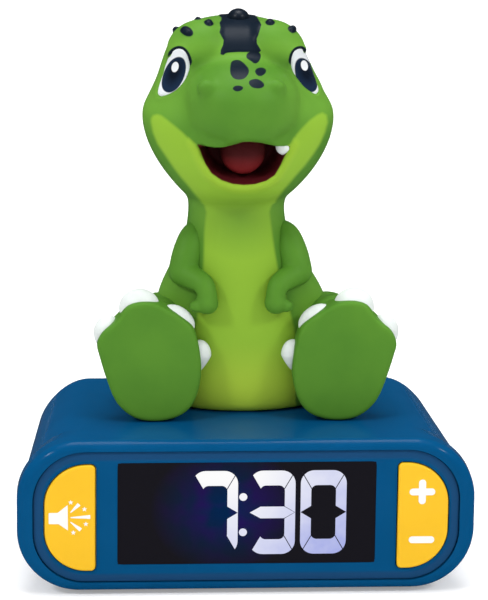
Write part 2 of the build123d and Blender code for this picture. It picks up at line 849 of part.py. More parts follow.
def rubber_feet():
    feet = []
    for y in (-foot_y, foot_y):
        for x, depth in foot_places(y):
            pad = upright(Pos(x, depth) * Circle(foot_radius), 0, foot_height + foot_socket)
            feet.append(chamfer(pad.faces().sort_by(Axis.Z)[0].edges(), 0.4))
    return group(feet)


# ---- Figure ----

def level_loft(levels, inset):
    """Body through flat ovals, each given by height, middle, half width, front and back."""
    ovals = []
    for height, middle, half_width, front, back in levels:
        half_depth = (back - front) / 2 - inset
        ovals.append(Pos(middle, (front + back) / 2, height) * Ellipse(half_width - inset, half_depth))
    return loft(ovals)


def seat_screw_places():
    return [(feet_offset - seat_screw_x, seat_centre_y), (feet_offset + seat_screw_x, seat_centre_y)]


def light_screw_places():
    near = seat_centre_y - light_screw_offset
    far = seat_centre_y + light_screw_offset
    return [(feet_offset, near), (feet_offset, far)]


def figure_torso():
    return level_loft(torso_levels, 0) - level_loft(torso_levels, skin)


def head_inside():
    """Hollow of the head: a round chamber that opens into the neck."""
    x, y, z = head_hollow_centre
    height, middle, half_width, front, back = head_levels[0]
    throat = upright(Pos(0, (front + back) / 2) * Circle((back - front) / 2 - skin), neck_height, z)
    return Pos(x, y, z) * Sphere(head_hollow_radius) + throat


def mouth_pocket(grow=0.0):
    pocket = spheroid(mouth_centre, mouth_radius + grow, mouth_half_height + grow)
    reach = 3 * mouth_radius
    block = Box(reach, reach, reach, align=(Align.CENTER, Align.CENTER, Align.MAX))
    below = Pos(mouth_x, mouth_y, mouth_roof + grow) * block
    return pocket & below


def eye_form(side, grow):
    x, y, z = eye_centre
    return Pos(side * x, y, z) * Sphere(eye_radius + grow)


def head_form():
    head = level_loft(head_levels, 0)
    head = head + spheroid(snout_centre, snout_radius, snout_half_height)
    for side in (-1, 1):
        x, y, z = brow_centre
        head = head + spheroid((side * x, y, z), brow_radius, brow_half_depth, axis=(0, 1, 0))
        x, y, z = nostril_centre
        head = head + Pos(side * x, y, z) * Sphere(nostril_radius)
    return head


def figure_head():
    head = head_form() - (head_inside() - mouth_pocket(skin)) - mouth_pocket()
    for side in (-1, 1):
        head = head - eye_form(side, turn_gap)
    return Pos(head_offset, 0, 0) * head


def figure_eye(side):
    return Pos(head_offset, 0, 0) * eye_form(side, 0)


def sole_outline():
    rings = [Pos(x, z) * Circle(radius) for x, z, radius in toe_circles + heel_circles]
    edges = [ring.edge() for ring in rings]
    return make_hull(edges)


def foot_form():
    pad = slab(sole_outline(), foot_front, foot_front + foot_thickness)
    return fillet(pad.faces().sort_by(Axis.Y)[0].edges(), sole_round)


def leg_form(side):
    """The foot with its thigh behind, flat where it sits on the base."""
    leg = foot_form() + spheroid(thigh_centre, thigh_radius, thigh_half_width, axis=(1, 0, 0))
    leg = leg - upright(Rectangle(base_width * 2, base_depth * 2), 0, base_top)
    return placed_limb(leg, side, feet_offset)


def placed_limb(shape, side, offset):
    """Limb drawn for the right, put on the side it is for."""
    return Pos(offset, 0, 0) * (shape if side > 0 else mirrored(shape))


def figure_leg(side):
    return leg_form(side) - level_loft(torso_levels, 0)


def figure_arm(side):
    arm = placed_limb(limb([shoulder, elbow, wrist, palm], arm_radii), side, arm_offset)
    return arm - level_loft(torso_levels, 0) - leg_form(side)


def figure_claws(side):
    leg = leg_form(side)
    torso = level_loft(torso_levels, 0)
    claws = []
    for centre, across, along, way in claw_shapes:
        claw = placed_limb(spheroid(centre, across, along, way), side, feet_offset)
        claws.append(claw - leg - torso)
    return group(claws)


def tail_form():
    return Pos(feet_offset, 0, 0) * limb(tail_points, tail_radii)


def figure_tail():
    tail = tail_form() - level_loft(torso_levels, 0)
    return tail - upright(Rectangle(base_width * 2, base_depth * 2), 0, base_top)


def dorsal_scutes():
    """Row of rounded plates down the back, from the crown to the root of the tail."""
    back = [(head_offset, level[4], level[0]) for level in reversed(head_levels[1:])]
    back = back + [(level[1], level[4], level[0]) for level in reversed(torso_levels[2:])]
    spine = Spline(*back)
    head = Pos(head_offset, 0, 0) * level_loft(head_levels, 0)
    bodies = level_loft(torso_levels, 0), head, tail_form()
    scutes = []
    for step in range(scute_count):
        place = (step + 0.5) / scute_count
        point = spine @ place
        along = spine % place
        disc = Cylinder(scute_radius, scute_width)
        disc = chamfer(disc.edges().filter_by(GeomType.CIRCLE), scute_bevel)
        inward = along.cross(Vector(1, 0, 0)).normalized()
        scute = Plane(origin=point + inward * scute_sink, x_dir=along, z_dir=(1, 0, 0)) * disc
        for body in bodies:
            scute = scute - body
        scutes.append(scute)
    return group(scutes)


def figure_tongue():
    centre = (mouth_x, mouth_y + tongue_back, mouth_z - tongue_drop)
    tongue = spheroid(centre, tongue_radius, tongue_half_height) & mouth_pocket()
    return Pos(head_offset, 0, 0) * tongue


def figure_tooth():
    root = (mouth_x + tooth_side, mouth_y + tooth_back, mouth_roof)
    tip = (mouth_x + tooth_side, mouth_y + tooth_back, mouth_roof - tooth_length)
    return Pos(head_offset, 0, 0) * (limb([root, tip], tooth_radii) & mouth_pocket())


# ---- Night light ----

def seat_outline(inset):
    height, middle, half_width, front, back = torso_levels[0]
    return Pos(middle, seat_centre_y) * Ellipse(half_width - inset, (back - front) / 2 - inset)


def figure_seat():
    """Cup that the torso stands over, screwed to the top of the base from inside."""
    seat = upright(seat_outline(skin + seat_gap), base_top, seat_top)
    seat = seat - upright(seat_outline(skin + seat_gap + seat_wall), base_top, seat_top - seat_wall)
    for x, y in seat_screw_places() + light_screw_places():
        seat = seat + upright(Pos(x, y) * Circle(post_radius - seat_wall / 2), base_top, seat_top)
    for x, y in seat_screw_places():
        seat = seat - upright(Pos(x, y) * Circle(screw_radius + turn_gap), base_top, seat_top)
    for x, y in light_screw_places():
        seat = seat - upright(Pos(x, y) * Circle(screw_radius + turn_gap), base_top + 1.0, seat_top)
    return seat - upright(Pos(feet_offset, seat_centre_y) * Circle(post_radius), base_top, seat_top)


def seat_screws():
    head = ceiling_z - screw_head_height
    return group([upward_screw(x, y, head, seat_top - 0.5) for x, y in seat_screw_places()])


def light_board():
    top = seat_top + board_thickness
    board = upright(Pos(feet_offset, seat_centre_y) * Circle(light_board_radius), seat_top, top)
    for x, y in light_screw_places():
        board = board - upright(Pos(x, y) * Circle(screw_radius + turn_gap), seat_top, top)
    return board


def light_board_screws():
    head = seat_top + board_thickness + screw_head_height
    screws = []
    for x, y in light_screw_places():
        down = Plane(origin=(x, y, head), z_dir=(0, 0, -1))
        screws.append(screw(down, head - base_top - 1.5))
    return group(screws)


def light_diodes():
    top = seat_top + board_thickness
    diodes = []
    for step in range(diode_count):
        place = Pos(feet_offset, seat_centre_y, top) * Rot(Z=360 * step / diode_count) * Pos(diode_ring, 0, 0)
        diode = Box(diode_size, diode_size, diode_height, align=(Align.CENTER, Align.CENTER, Align.MIN))
        diodes.append(place * diode)
    return group(diodes)


def light_diffuser():
    top = seat_top + board_thickness
    shapes = []
    for radius in (diffuser_radius, diffuser_radius - diffuser_wall):
        straight = diffuser_height - diffuser_radius
        tube = Cylinder(radius, straight, align=(Align.CENTER, Align.CENTER, Align.MIN))
        shapes.append(tube + Pos(0, 0, straight) * Sphere(radius))
    outside, inside = shapes
    reach = 3 * diffuser_radius
    below = Box(reach, reach, reach, align=(Align.CENTER, Align.CENTER, Align.MAX))
    return Pos(feet_offset, seat_centre_y, top) * (outside - inside - below)


nodes = {
    "front_housing": front_shell,
    "rear_housing": rear_shell,
    "face_panel": face_panel,
    "display_window": display_window,
    "display_module": display_module,
    "sound_button": sound_button,
    "plus_minus_button": plus_minus_button,
    "front_switches": front_switches,
    "main_board": main_board,
    "main_board_screws": main_board_screws,
    "housing_screws": housing_screws,
    "rear_board": rear_board,
    "rear_board_screws": rear_board_screws,
    "rear_switches": rear_switches,
    "alarm_switch_body": alarm_switch_body,
    "alarm_switch_knob": alarm_switch_knob,
    "usb_socket": usb_socket,
    "speaker_frame": speaker_frame,
    "speaker_cone": speaker_cone,
    "speaker_magnet": speaker_magnet,
    "aaa_cells": aaa_cells,
    "contact_plates": contact_plates,
    "contact_leaves": contact_leaves,
    "battery_door": battery_door,
    "rubber_feet": rubber_feet,
    "figure_torso": figure_torso,
    "figure_head": figure_head,
    "figure_tail": figure_tail,
    "figure_tongue": figure_tongue,
    "figure_tooth": figure_tooth,
    "dorsal_scutes": dorsal_scutes,
    "figure_seat": figure_seat,
    "seat_screws": seat_screws,
    "light_board": light_board,
    "light_board_screws": light_board_screws,
    "light_diodes": light_diodes,
    "light_diffuser": light_diffuser,
}
for name, x in rear_key_columns.items():
    nodes[name] = lambda x=x: rear_key(x)
for side, word in ((-1, "left"), (1, "right")):
    nodes[f"figure_leg_{word}"] = lambda side=side: figure_leg(side)
    nodes[f"figure_arm_{word}"] = lambda side=side: figure_arm(side)
    nodes[f"figure_claws_{word}"] = lambda side=side: figure_claws(side)
    nodes[f"figure_eye_{word}"] = lambda side=side: figure_eye(side)
    nodes[f"door_screw_{word}"] = lambda side=side: door_screw(side)

os.makedirs("parts", exist_ok=True)
for name, make in nodes.items():
    export_step(make(), f"parts/{name}.step")
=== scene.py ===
import json
import math

import bmesh
import bpy
import numpy as np
from mathutils import Matrix, Vector
from mathutils.bvhtree import BVHTree


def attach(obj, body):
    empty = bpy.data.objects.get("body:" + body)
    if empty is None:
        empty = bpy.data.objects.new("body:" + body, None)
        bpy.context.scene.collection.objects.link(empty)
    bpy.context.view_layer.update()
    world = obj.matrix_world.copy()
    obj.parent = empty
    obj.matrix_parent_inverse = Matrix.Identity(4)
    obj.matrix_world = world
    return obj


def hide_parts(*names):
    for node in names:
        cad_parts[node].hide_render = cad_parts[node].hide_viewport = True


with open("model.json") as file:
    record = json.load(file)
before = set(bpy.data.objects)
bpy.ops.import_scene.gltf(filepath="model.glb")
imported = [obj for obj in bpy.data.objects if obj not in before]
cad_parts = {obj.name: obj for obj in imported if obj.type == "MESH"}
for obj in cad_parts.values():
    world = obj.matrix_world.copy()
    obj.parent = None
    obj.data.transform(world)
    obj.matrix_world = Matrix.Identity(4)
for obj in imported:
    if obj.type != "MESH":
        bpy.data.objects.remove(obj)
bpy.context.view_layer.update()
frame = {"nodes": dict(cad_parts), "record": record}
rootBody = "base_and_figure"
mm = 0.001   # shapes are drawn in millimetres and scaled to metres when they are done


# small tools for shaders

def setInputs(tree, made, inputs):
    # a socket is linked, a plain value is set
    for key, value in inputs.items():
        if isinstance(value, bpy.types.NodeSocket):
            tree.links.new(value, made.inputs[key])
        else:
            made.inputs[key].default_value = value


def node(tree, kind, inputs=None, **settings):
    made = tree.nodes.new(kind)
    for key, value in settings.items():
        setattr(made, key, value)
    setInputs(tree, made, inputs or {})
    return made


def blank(name):
    made = bpy.data.materials.new(name)
    made.use_nodes = True
    tree = made.node_tree
    tree.nodes.clear()
    place = node(tree, "ShaderNodeTexCoord").outputs["Object"]
    surface = node(tree, "ShaderNodeBsdfPrincipled")
    node(tree, "ShaderNodeOutputMaterial", {"Surface": surface.outputs[0]})
    return made, tree, place, surface


def noise(tree, place, perMetre, detail):
    inputs = {"Vector": place, "Scale": perMetre, "Detail": detail, "Roughness": 0.55}
    return node(tree, "ShaderNodeTexNoise", inputs).outputs["Fac"]


def ranged(tree, value, low, high, fromLow=0.0, fromHigh=1.0):
    inputs = {"Value": value, "From Min": fromLow, "From Max": fromHigh, "To Min": low, "To Max": high}
    return node(tree, "ShaderNodeMapRange", inputs).outputs[0]


def worked(tree, operation, first, second, **settings):
    return node(tree, "ShaderNodeMath", {0: first, 1: second}, operation=operation, **settings).outputs[0]


def vectorWorked(tree, operation, first, second=(0, 0, 0)):
    return node(tree, "ShaderNodeVectorMath", {0: first, 1: second}, operation=operation).outputs


def blended(tree, factor, first, second):
    made = node(tree, "ShaderNodeMix", data_type="RGBA")
    first, second = (c if isinstance(c, bpy.types.NodeSocket) else (*c, 1.0) for c in (first, second))
    setInputs(tree, made, {0: factor, 6: first, 7: second})
    return made.outputs[2]


def attributeValue(tree, field):
    return node(tree, "ShaderNodeAttribute", attribute_name=field).outputs["Fac"]


def grained(tree, place, surface, look):
    # fine moulded grain: blotchy gloss and a very shallow bump
    cloud = noise(tree, place, look.get("cloudScale", 60.0), 4.0)
    grain = noise(tree, place, look.get("grainScale", 2200.0), 2.0)
    depth = {"Strength": look.get("grainStrength", 0.25), "Distance": look.get("grainDepth", 0.00003)}
    bump = node(tree, "ShaderNodeBump", {"Height": grain, **depth})
    gloss = ranged(tree, cloud, *look["rough"], 0.3, 0.7)
    setInputs(tree, surface, {"Roughness": gloss, "Normal": bump.outputs[0]})
    return cloud


def plastic(name, look):
    made, tree, place, surface = blank(name)
    cloud = grained(tree, place, surface, look)
    dark = tuple(c * look.get("shade", 0.9) for c in look["colour"])
    setInputs(tree, surface, {
        "Base Color": blended(tree, ranged(tree, cloud, 0.0, 1.0, 0.35, 0.65), dark, look["colour"]),
        "Metallic": look.get("metal", 0.0), "Specular IOR Level": look.get("specular", 0.5),
        "Coat Weight": look.get("coat", 0.0), "Coat Roughness": 0.05,
    })
    if "brushed" in look:   # drawn lines along one axis
        lines = node(tree, "ShaderNodeMapping", {"Vector": place, "Scale": look["brushed"]})
        streaks = noise(tree, lines.outputs[0], 1.0, 3.0)
        setInputs(tree, surface, {"Roughness": ranged(tree, streaks, *look["rough"], 0.3, 0.7)})
    return made


# small tools for shapes

def linked(name, data):
    made = bpy.data.objects.new(name, data)
    bpy.context.scene.collection.objects.link(made)
    return made


def addMesh(name, mesh, material, replaced=(), body=rootBody, smooth=True):
    mesh.materials.clear()
    mesh.materials.append(material)
    for face in mesh.polygons:
        face.use_smooth = smooth
        face.material_index = 0
    mesh.transform(Matrix.Scale(mm, 4))
    piece = linked(name, mesh)
    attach(piece, body)
    if replaced:
        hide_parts(*replaced)
    return piece


def meshOf(bm, name):
    mesh = bpy.data.meshes.new(name)
    bm.to_mesh(mesh)
    bm.free()
    return mesh


def joined(parts):
    # several shapes as one
    whole = bmesh.new()
    for part in parts:
        mesh = meshOf(part, "part")
        whole.from_mesh(mesh)
        bpy.data.meshes.remove(mesh)
    return whole


def modified(mesh, name, steps):
    # runs modifiers on a mesh and gives the finished mesh back
    holder = linked(name + "Work", mesh)
    for kind, settings in steps:
        step = holder.modifiers.new(kind, kind)
        for key, value in settings.items():
            setattr(step, key, value)
    bpy.context.view_layer.update()
    shape = bpy.data.meshes.new_from_object(holder.evaluated_get(bpy.context.evaluated_depsgraph_get()))
    bpy.data.objects.remove(holder)
    return shape


def softened(mesh, name, turns, *first):
    return modified(mesh, name, [*first, ("SMOOTH", {"factor": 0.5, "iterations": turns})])


def reskinned(mesh, name, voxel, turns):
    # one even skin over closed bodies, with the creases between them softened
    return softened(mesh, name, turns, ("REMESH", {"mode": "VOXEL", "voxel_size": voxel}))


def fused(parts, name, voxel, turns):
    return reskinned(meshOf(joined(parts), name), name, voxel, turns)


def points(mesh, kind="co"):
    rows = np.zeros(len(mesh.vertices) * 3)
    mesh.vertices.foreach_get(kind, rows)
    return rows.reshape(-1, 3)


def setPoints(mesh, co):
    mesh.vertices.foreach_set("co", co.ravel())
    mesh.update()


def shiftedMesh(mesh, sideways):
    co = points(mesh)
    co[:, 0] += sideways(co[:, 2]) if callable(sideways) else sideways
    setPoints(mesh, co)
    return mesh


def onSide(mesh, side, shift):
    # puts a shape drawn for the right side, 1, on its own side
    co = points(mesh)
    co[:, 0] = co[:, 0] * side + shift
    setPoints(mesh, co)
    if side < 0:
        mesh.flip_normals()
    return mesh


def seated(mesh, height):
    # flattens what would reach below a height
    co = points(mesh)
    co[:, 2] = np.maximum(co[:, 2], height)
    setPoints(mesh, co)
    return mesh


def softStep(value, low, high):
    t = np.clip((value - low) / (high - low), 0, 1)
    return t * t * (3 - 2 * t)


def rotation(degrees, axis):
    return Matrix.Rotation(math.radians(degrees), 4, axis)


def through(rows, count):
    # smooth run of rows of numbers through the given ones
    rows = np.array(rows, float)
    padded = np.vstack([2 * rows[0] - rows[1], rows, 2 * rows[-1] - rows[-2]])
    out = []
    for i in range(len(rows) - 1):
        a, b, c, d = padded[i:i + 4]
        square, cube = 2 * a - 5 * b + 4 * c - d, 3 * b - a - 3 * c + d
        for t in np.arange(count) / count:
            out.append(0.5 * (2 * b + (c - a) * t + square * t * t + cube * t ** 3))
    out.append(rows[-1])
    return np.array(out)


def onlyVerts(geometry):
    return [g for g in geometry if isinstance(g, bmesh.types.BMVert)]


def pushed(bm, way):
    bmesh.ops.translate(bm, verts=bm.verts[:], vec=way)
    return bm


def outward(bm):
    # all faces look outwards
    bmesh.ops.recalc_face_normals(bm, faces=bm.faces[:])
    return bm


def thickened(bm, front, depth):
    # gives flat faces a body, from depth front to the back
    pushed(bm, (0, front, 0))
    grown = bmesh.ops.extrude_face_region(bm, geom=bm.faces[:])["geom"]
    bmesh.ops.translate(bm, verts=onlyVerts(grown), vec=(0, depth, 0))
    return outward(bm)


def bevelled(bm, geometry, offset, segments, affect="EDGES"):
    settings = {"offset": offset, "segments": segments, "profile": 0.5, "affect": affect}
    bmesh.ops.bevel(bm, geom=geometry, material=-1, **settings)
    return bm


def lofted(rings, segments):
    # closed skin through rings, each given as the matrix that places a unit circle
    bm = bmesh.new()
    bmesh.ops.create_circle(bm, cap_ends=False, segments=segments, radius=1.0, matrix=rings[0])
    edges = bm.edges[:]
    for last, ring in zip(rings, rings[1:]):
        grown = bmesh.ops.extrude_edge_only(bm, edges=edges)["geom"]
        edges = [g for g in grown if isinstance(g, bmesh.types.BMEdge)]
        bmesh.ops.transform(bm, matrix=ring @ last.inverted(), verts=onlyVerts(grown))
    bmesh.ops.holes_fill(bm, edges=bm.edges[:], sides=0)
    return outward(bm)


def oval(place, turn, across, deep):
    return Matrix.Translation(place) @ turn @ Matrix.Diagonal((across, deep, 1, 1))


def levelBody(levels):
    # ovals at heights: height, half width, front, back
    rings = [oval((0, (front + back) / 2, z), Matrix(), half, (back - front) / 2)
             for z, half, front, back in through(levels, 5)]
    return lofted(rings, 64)


def limb(path, count=6, segments=32):
    # limb with round ends along points x, y, z, radius
    line = through(path, count)
    ways = np.gradient(line[:, :3], axis=0)
    capSteps = 5
    rings = []
    for i, (*middle, radius) in enumerate(line):
        along = Vector(ways[i]).normalized()
        turn = along.to_track_quat("Z", "Y").to_matrix().to_4x4()
        end = {0: -1, len(line) - 1: 1}.get(i, 0)
        angles = [math.pi / 2 * k / capSteps for k in range(capSteps if end else 1)]
        for angle in (angles[::-1] if end < 0 else angles):
            size = radius * math.cos(angle)
            rings.append(oval(Vector(middle) + along * (end * radius * math.sin(angle)), turn, size, size))
    return lofted(rings, segments)


def ball(centre, turn, radii, detail=4):
    bm = bmesh.new()
    place = Matrix.Translation(centre) @ turn @ Matrix.Diagonal((*radii, 1))
    bmesh.ops.create_icosphere(bm, subdivisions=detail, radius=1.0, matrix=place)
    return bm


def egg(centre, radii, tilt=(0, 0, 0), detail=4):
    turn = rotation(tilt[2], "Z") @ rotation(tilt[1], "Y") @ rotation(tilt[0], "X")
    return ball(centre, turn, radii, detail)


def eggPair(*row):
    # an egg and its twin on the other side
    one = egg(*row)
    twin = one.copy()
    bmesh.ops.scale(twin, vec=(-1, 1, 1), verts=twin.verts[:])
    bmesh.ops.reverse_faces(twin, faces=twin.faces[:])
    return [one, twin]


# camera and studio

view = {
    "place": (-78.10, -1269.35, 450.53),
    "azimuth": -3.556, "elevation": 15.472, "roll": 0.658,
    "lens": 216.49, "sensor": 36.0, "clip": (0.05, 30.0),
}
studio = {
    "floorSize": 7.0, "floorColour": (0.84, 0.84, 0.84), "floorLift": (0.26, 0.50), "floorReach": (0.5, 1.6),
    "worldStrength": 0.74,
    "flagRadius": 2.6, "flagHeight": 4.6, "flagLift": 0.01, "flagFloor": 0.001,
    "flagColour": (0.03, 0.03, 0.03), "aim": (0.0, 0.0, 0.10),
    # name, place, width, power
    "lamps": (
        ("leftLamp", (-1.05, -0.75, 1.15), 0.24, 8.0),
        ("rightLamp", (1.05, -0.75, 1.05), 0.24, 7.2),
        ("topLamp", (0.0, 0.10, 1.45), 0.8, 11.0),
    ),
}


def makeCamera():
    data = bpy.data.cameras.new("Camera")
    data.lens, data.sensor_width = view["lens"], view["sensor"]
    data.clip_start, data.clip_end = view["clip"]
    turned = rotation(view["azimuth"], "Z") @ rotation(90 - view["elevation"], "X")
    turned = turned @ rotation(view["roll"], "Z")
    camera = linked("Camera", data)
    camera.matrix_world = Matrix.Translation(Vector(view["place"]) * mm) @ turned
    bpy.context.scene.camera = camera
    bpy.context.scene.view_settings.view_transform = "Standard"


def backgroundRays(tree):
    # what the camera, a reflection or clear plastic sees of the background is white
    path = node(tree, "ShaderNodeLightPath").outputs
    rays = worked(tree, "MAXIMUM", path["Is Camera Ray"], path["Is Glossy Ray"])
    return worked(tree, "MAXIMUM", rays, path["Is Transmission Ray"])


def makeFloor():
    shape = bmesh.new()
    bmesh.ops.create_grid(shape, x_segments=2, y_segments=2, size=studio["floorSize"])
    floor = linked("floor", meshOf(shape, "floor"))
    made, tree, place, surface = blank("floorPaper")
    far = vectorWorked(tree, "LENGTH", place)["Value"]
    lift = ranged(tree, far, *studio["floorLift"], *studio["floorReach"])
    glow = worked(tree, "MULTIPLY", backgroundRays(tree), lift)
    setInputs(tree, surface, {
        "Base Color": (*studio["floorColour"], 1), "Roughness": 0.85, "Specular IOR Level": 0.0,
        "Emission Color": (1, 1, 1, 1), "Emission Strength": glow,
    })
    floor.data.materials.append(made)


def makeFlag():
    # dark cloth below and all round that only reflections meet
    cloth = bmesh.new()
    radius, high = studio["flagRadius"], studio["flagHeight"]
    middle = Matrix.Translation((0, 0, high / 2 + studio["flagLift"]))
    wall = {"segments": 64, "radius1": radius, "radius2": radius, "depth": high}
    bmesh.ops.create_cone(cloth, cap_ends=False, matrix=middle, **wall)
    low = Matrix.Translation((0, 0, studio["flagFloor"]))
    bmesh.ops.create_circle(cloth, cap_ends=True, segments=64, radius=radius, matrix=low)
    flag = linked("flag", meshOf(cloth, "flag"))
    made, tree, _, surface = blank("flagCloth")
    setInputs(tree, surface, {"Base Color": (*studio["flagColour"], 1), "Roughness": 0.95})
    flag.data.materials.append(made)
    flag.visible_camera = flag.visible_diffuse = flag.visible_transmission = flag.visible_shadow = False


def makeLights():
    world = bpy.data.worlds.new("studioWorld")
    bpy.context.scene.world = world
    world.use_nodes = True
    sky = world.node_tree
    strength = ranged(sky, backgroundRays(sky), studio["worldStrength"], 1.0)
    setInputs(sky, sky.nodes["Background"], {"Color": (1, 1, 1, 1), "Strength": strength})
    for name, place, width, power in studio["lamps"]:
        light = bpy.data.lights.new(name, "AREA")
        light.shape = "RECTANGLE"
        light.size = light.size_y = width
        light.energy = power
        way = (Vector(studio["aim"]) - Vector(place)).to_track_quat("-Z", "Y")
        linked(name, light).matrix_world = Matrix.Translation(place) @ way.to_matrix().to_4x4()


makeCamera()
makeFloor()
makeFlag()
makeLights()
print("camera and studio are set")


# materials of the moulded and metal parts

blueLook = {"colour": (0.0015, 0.070, 0.190), "shade": 0.93, "rough": (0.11, 0.16), "specular": 0.07,
            "grainStrength": 0.08}
looks = {
    "blue_shell": blueLook,
    "yellow_key": {"colour": (0.86, 0.490, 0.012), "shade": 0.97, "rough": (0.30, 0.40), "specular": 0.25},
    "rear_key": {**blueLook, "rough": (0.34, 0.44), "grainStrength": 0.3},
    "display_block": {"colour": (0.02, 0.02, 0.025), "rough": (0.5, 0.65)},
    "circuit_board": {"colour": (0.015, 0.14, 0.05), "shade": 0.75, "rough": (0.30, 0.45),
                      "cloudScale": 220.0, "coat": 0.3},
    "switch_body": {"colour": (0.025, 0.025, 0.027), "rough": (0.40, 0.55)},
    "steel_screw": {"colour": (0.55, 0.55, 0.56), "metal": 1.0, "rough": (0.25, 0.42), "cloudScale": 500.0},
    "socket_metal": {"colour": (0.62, 0.62, 0.64), "metal": 1.0, "rough": (0.20, 0.36),
                     "brushed": (300.0, 300.0, 4000.0)},
    "speaker_steel": {"colour": (0.05, 0.05, 0.052), "rough": (0.35, 0.5), "specular": 0.6},
    "speaker_paper": {"colour": (0.035, 0.034, 0.032), "shade": 0.7, "rough": (0.8, 0.95),
                      "grainStrength": 0.8, "grainScale": 1400.0},
    "cell_can": {"colour": (0.5, 0.5, 0.5), "metal": 1.0, "rough": (0.22, 0.36),
                 "brushed": (200.0, 4000.0, 4000.0)},
    "contact_metal": {"colour": (0.62, 0.60, 0.56), "metal": 1.0, "rough": (0.24, 0.40),
                      "brushed": (3000.0, 3000.0, 300.0)},
    "blue_door": {**blueLook, "rough": (0.30, 0.42), "grainStrength": 0.35},
    "rubber": {"colour": (0.025, 0.025, 0.027), "rough": (0.75, 0.92), "grainStrength": 0.6},
    "seat_plastic": {"colour": (0.72, 0.72, 0.70), "rough": (0.45, 0.6)},
    "diode": {"colour": (0.88, 0.82, 0.45), "rough": (0.15, 0.3), "cloudScale": 900.0},
    "diffuser": {"colour": (0.85, 0.85, 0.85), "rough": (0.5, 0.65), "grainStrength": 0.5},
}
finishes = {name: plastic(name, look) for name, look in looks.items()}
nodeSlots = {part["node"]: part["material_slot"] for part in frame["record"]["subparts"]}

panel = {
    "centre": (0.0, 29.75), "half": (76.5, 24.35), "corner": 18.6, "band": 3.0,
    # painted violet shade in the groove round the panel's edge: its colour, how strong it is, and where it
    # starts and ends in shares of the band
    "dip": (0.012, 0.058, 0.150), "dipStrength": 0.85, "dipSpan": (1.15, 0.75),
}
window = {
    "half": (46.4, 19.1), "middle": (0.0, 31.05), "front": -43.24, "back": -42.0, "bevel": 0.12,
    "glow": (-7.5, 32.5), "spread": (17.0, 15.0), "glowStrength": 0.55,
    "dark": (0.0058, 0.0054, 0.0075), "deep": (0.001, 0.010, 0.040), "violet": (0.010, 0.004, 0.060),
    # clouds of the glow and of the gloss: how fine, how detailed; where the glow starts and ends
    "cloud": (70.0, 2.0), "cloudSpan": (0.42, 0.60), "glossCloud": (180.0, 3.0), "gloss": (0.05, 0.11),
    "glowSpan": (0.2, 1.6), "specular": 0.03,
}


def panelMaterial():
    # blue face whose edge rolls into the groove, with a painted violet shade in the groove
    made = finishes["blue_shell"].copy()
    made.name = "facePanelBlue"
    tree = made.node_tree
    surface = next(n for n in tree.nodes if n.type == "BSDF_PRINCIPLED")
    place = next(n for n in tree.nodes if n.type == "TEX_COORD").outputs["Object"]
    x, z = panel["centre"]
    halfX, halfZ = ((v - panel["corner"]) * mm for v in panel["half"])
    flat = {"Vector": place, "Location": (-x * mm, 0, -z * mm), "Scale": (1, 0, 1)}
    mirrored = vectorWorked(tree, "ABSOLUTE", node(tree, "ShaderNodeMapping", flat).outputs[0])[0]
    beyond = vectorWorked(tree, "SUBTRACT", mirrored, (halfX, 0, halfZ))[0]
    far = vectorWorked(tree, "LENGTH", vectorWorked(tree, "MAXIMUM", beyond)[0])["Value"]
    span = ((panel["corner"] - share * panel["band"]) * mm for share in panel["dipSpan"])
    # painted shade: the violet grows towards the groove
    rise = ranged(tree, far, 0.0, panel["dipStrength"], *span)
    blue = surface.inputs["Base Color"].links[0].from_socket
    setInputs(tree, surface, {"Base Color": blended(tree, rise, blue, panel["dip"])})
    return made


def windowMaterial():
    # smoked pane with a dim glow behind the digits
    made, tree, place, surface = blank("smokedWindow")
    x, z = window["glow"]
    across, up = window["spread"]
    local = node(tree, "ShaderNodeMapping", {"Vector": place, "Location": (-x / across, 0, -z / up),
                                             "Scale": (1 / (across * mm), 0, 1 / (up * mm))})
    far = vectorWorked(tree, "LENGTH", local.outputs[0])["Value"]
    cloud = ranged(tree, noise(tree, place, *window["cloud"]), 0.0, 1.0, *window["cloudSpan"])
    glow = blended(tree, cloud, window["deep"], window["violet"])
    colour = blended(tree, ranged(tree, far, 1.0, 0.0, *window["glowSpan"]), window["dark"], glow)
    setInputs(tree, surface, {
        "Base Color": colour, "Emission Color": colour, "Emission Strength": window["glowStrength"],
        "Roughness": ranged(tree, noise(tree, place, *window["glossCloud"]), *window["gloss"]),
        "Specular IOR Level": window["specular"],
    })
    return made


def makeWindow():
    # flat printed pane with square corners, a hair in front of the panel
    halfX, halfZ = window["half"]
    x, z = window["middle"]
    depth = window["back"] - window["front"]
    box = Matrix.Translation((x, window["front"] + depth / 2, z))
    box = box @ Matrix.Diagonal((2 * halfX, depth, 2 * halfZ, 1))
    pane = bmesh.new()
    bmesh.ops.create_cube(pane, size=1.0, matrix=box)
    mesh = meshOf(bevelled(pane, pane.edges[:], window["bevel"], 2), "displayPane")
    addMesh("displayPane", mesh, windowMaterial(), ("display_window",), smooth=False)


for name, piece in frame["nodes"].items():
    finish = panelMaterial() if name == "face_panel" else finishes.get(nodeSlots[name])
    if finish:
        for slot in piece.material_slots:
            slot.material = finish
makeWindow()

shell = {
    # the body behind the front rim is slimmer: how far each end comes in, between which depths, and from
    # which width on
    "drawIn": 4.0, "depths": (-34.0, 44.0), "widths": (46.0, 74.0),
    # speaker slots, keys and the four screw holes stay where they are
    "heldWidth": 57.0, "heldHeights": (9.5, 50.0),
    "screwX": 60.5, "screwZ": (13.25, 46.25), "screwReach": 3.6, "weld": 0.004,
}


def cornerNormals(mesh, read):
    rows = np.empty(len(mesh.loops) * 3, np.float32)
    read("vector", rows)
    return rows


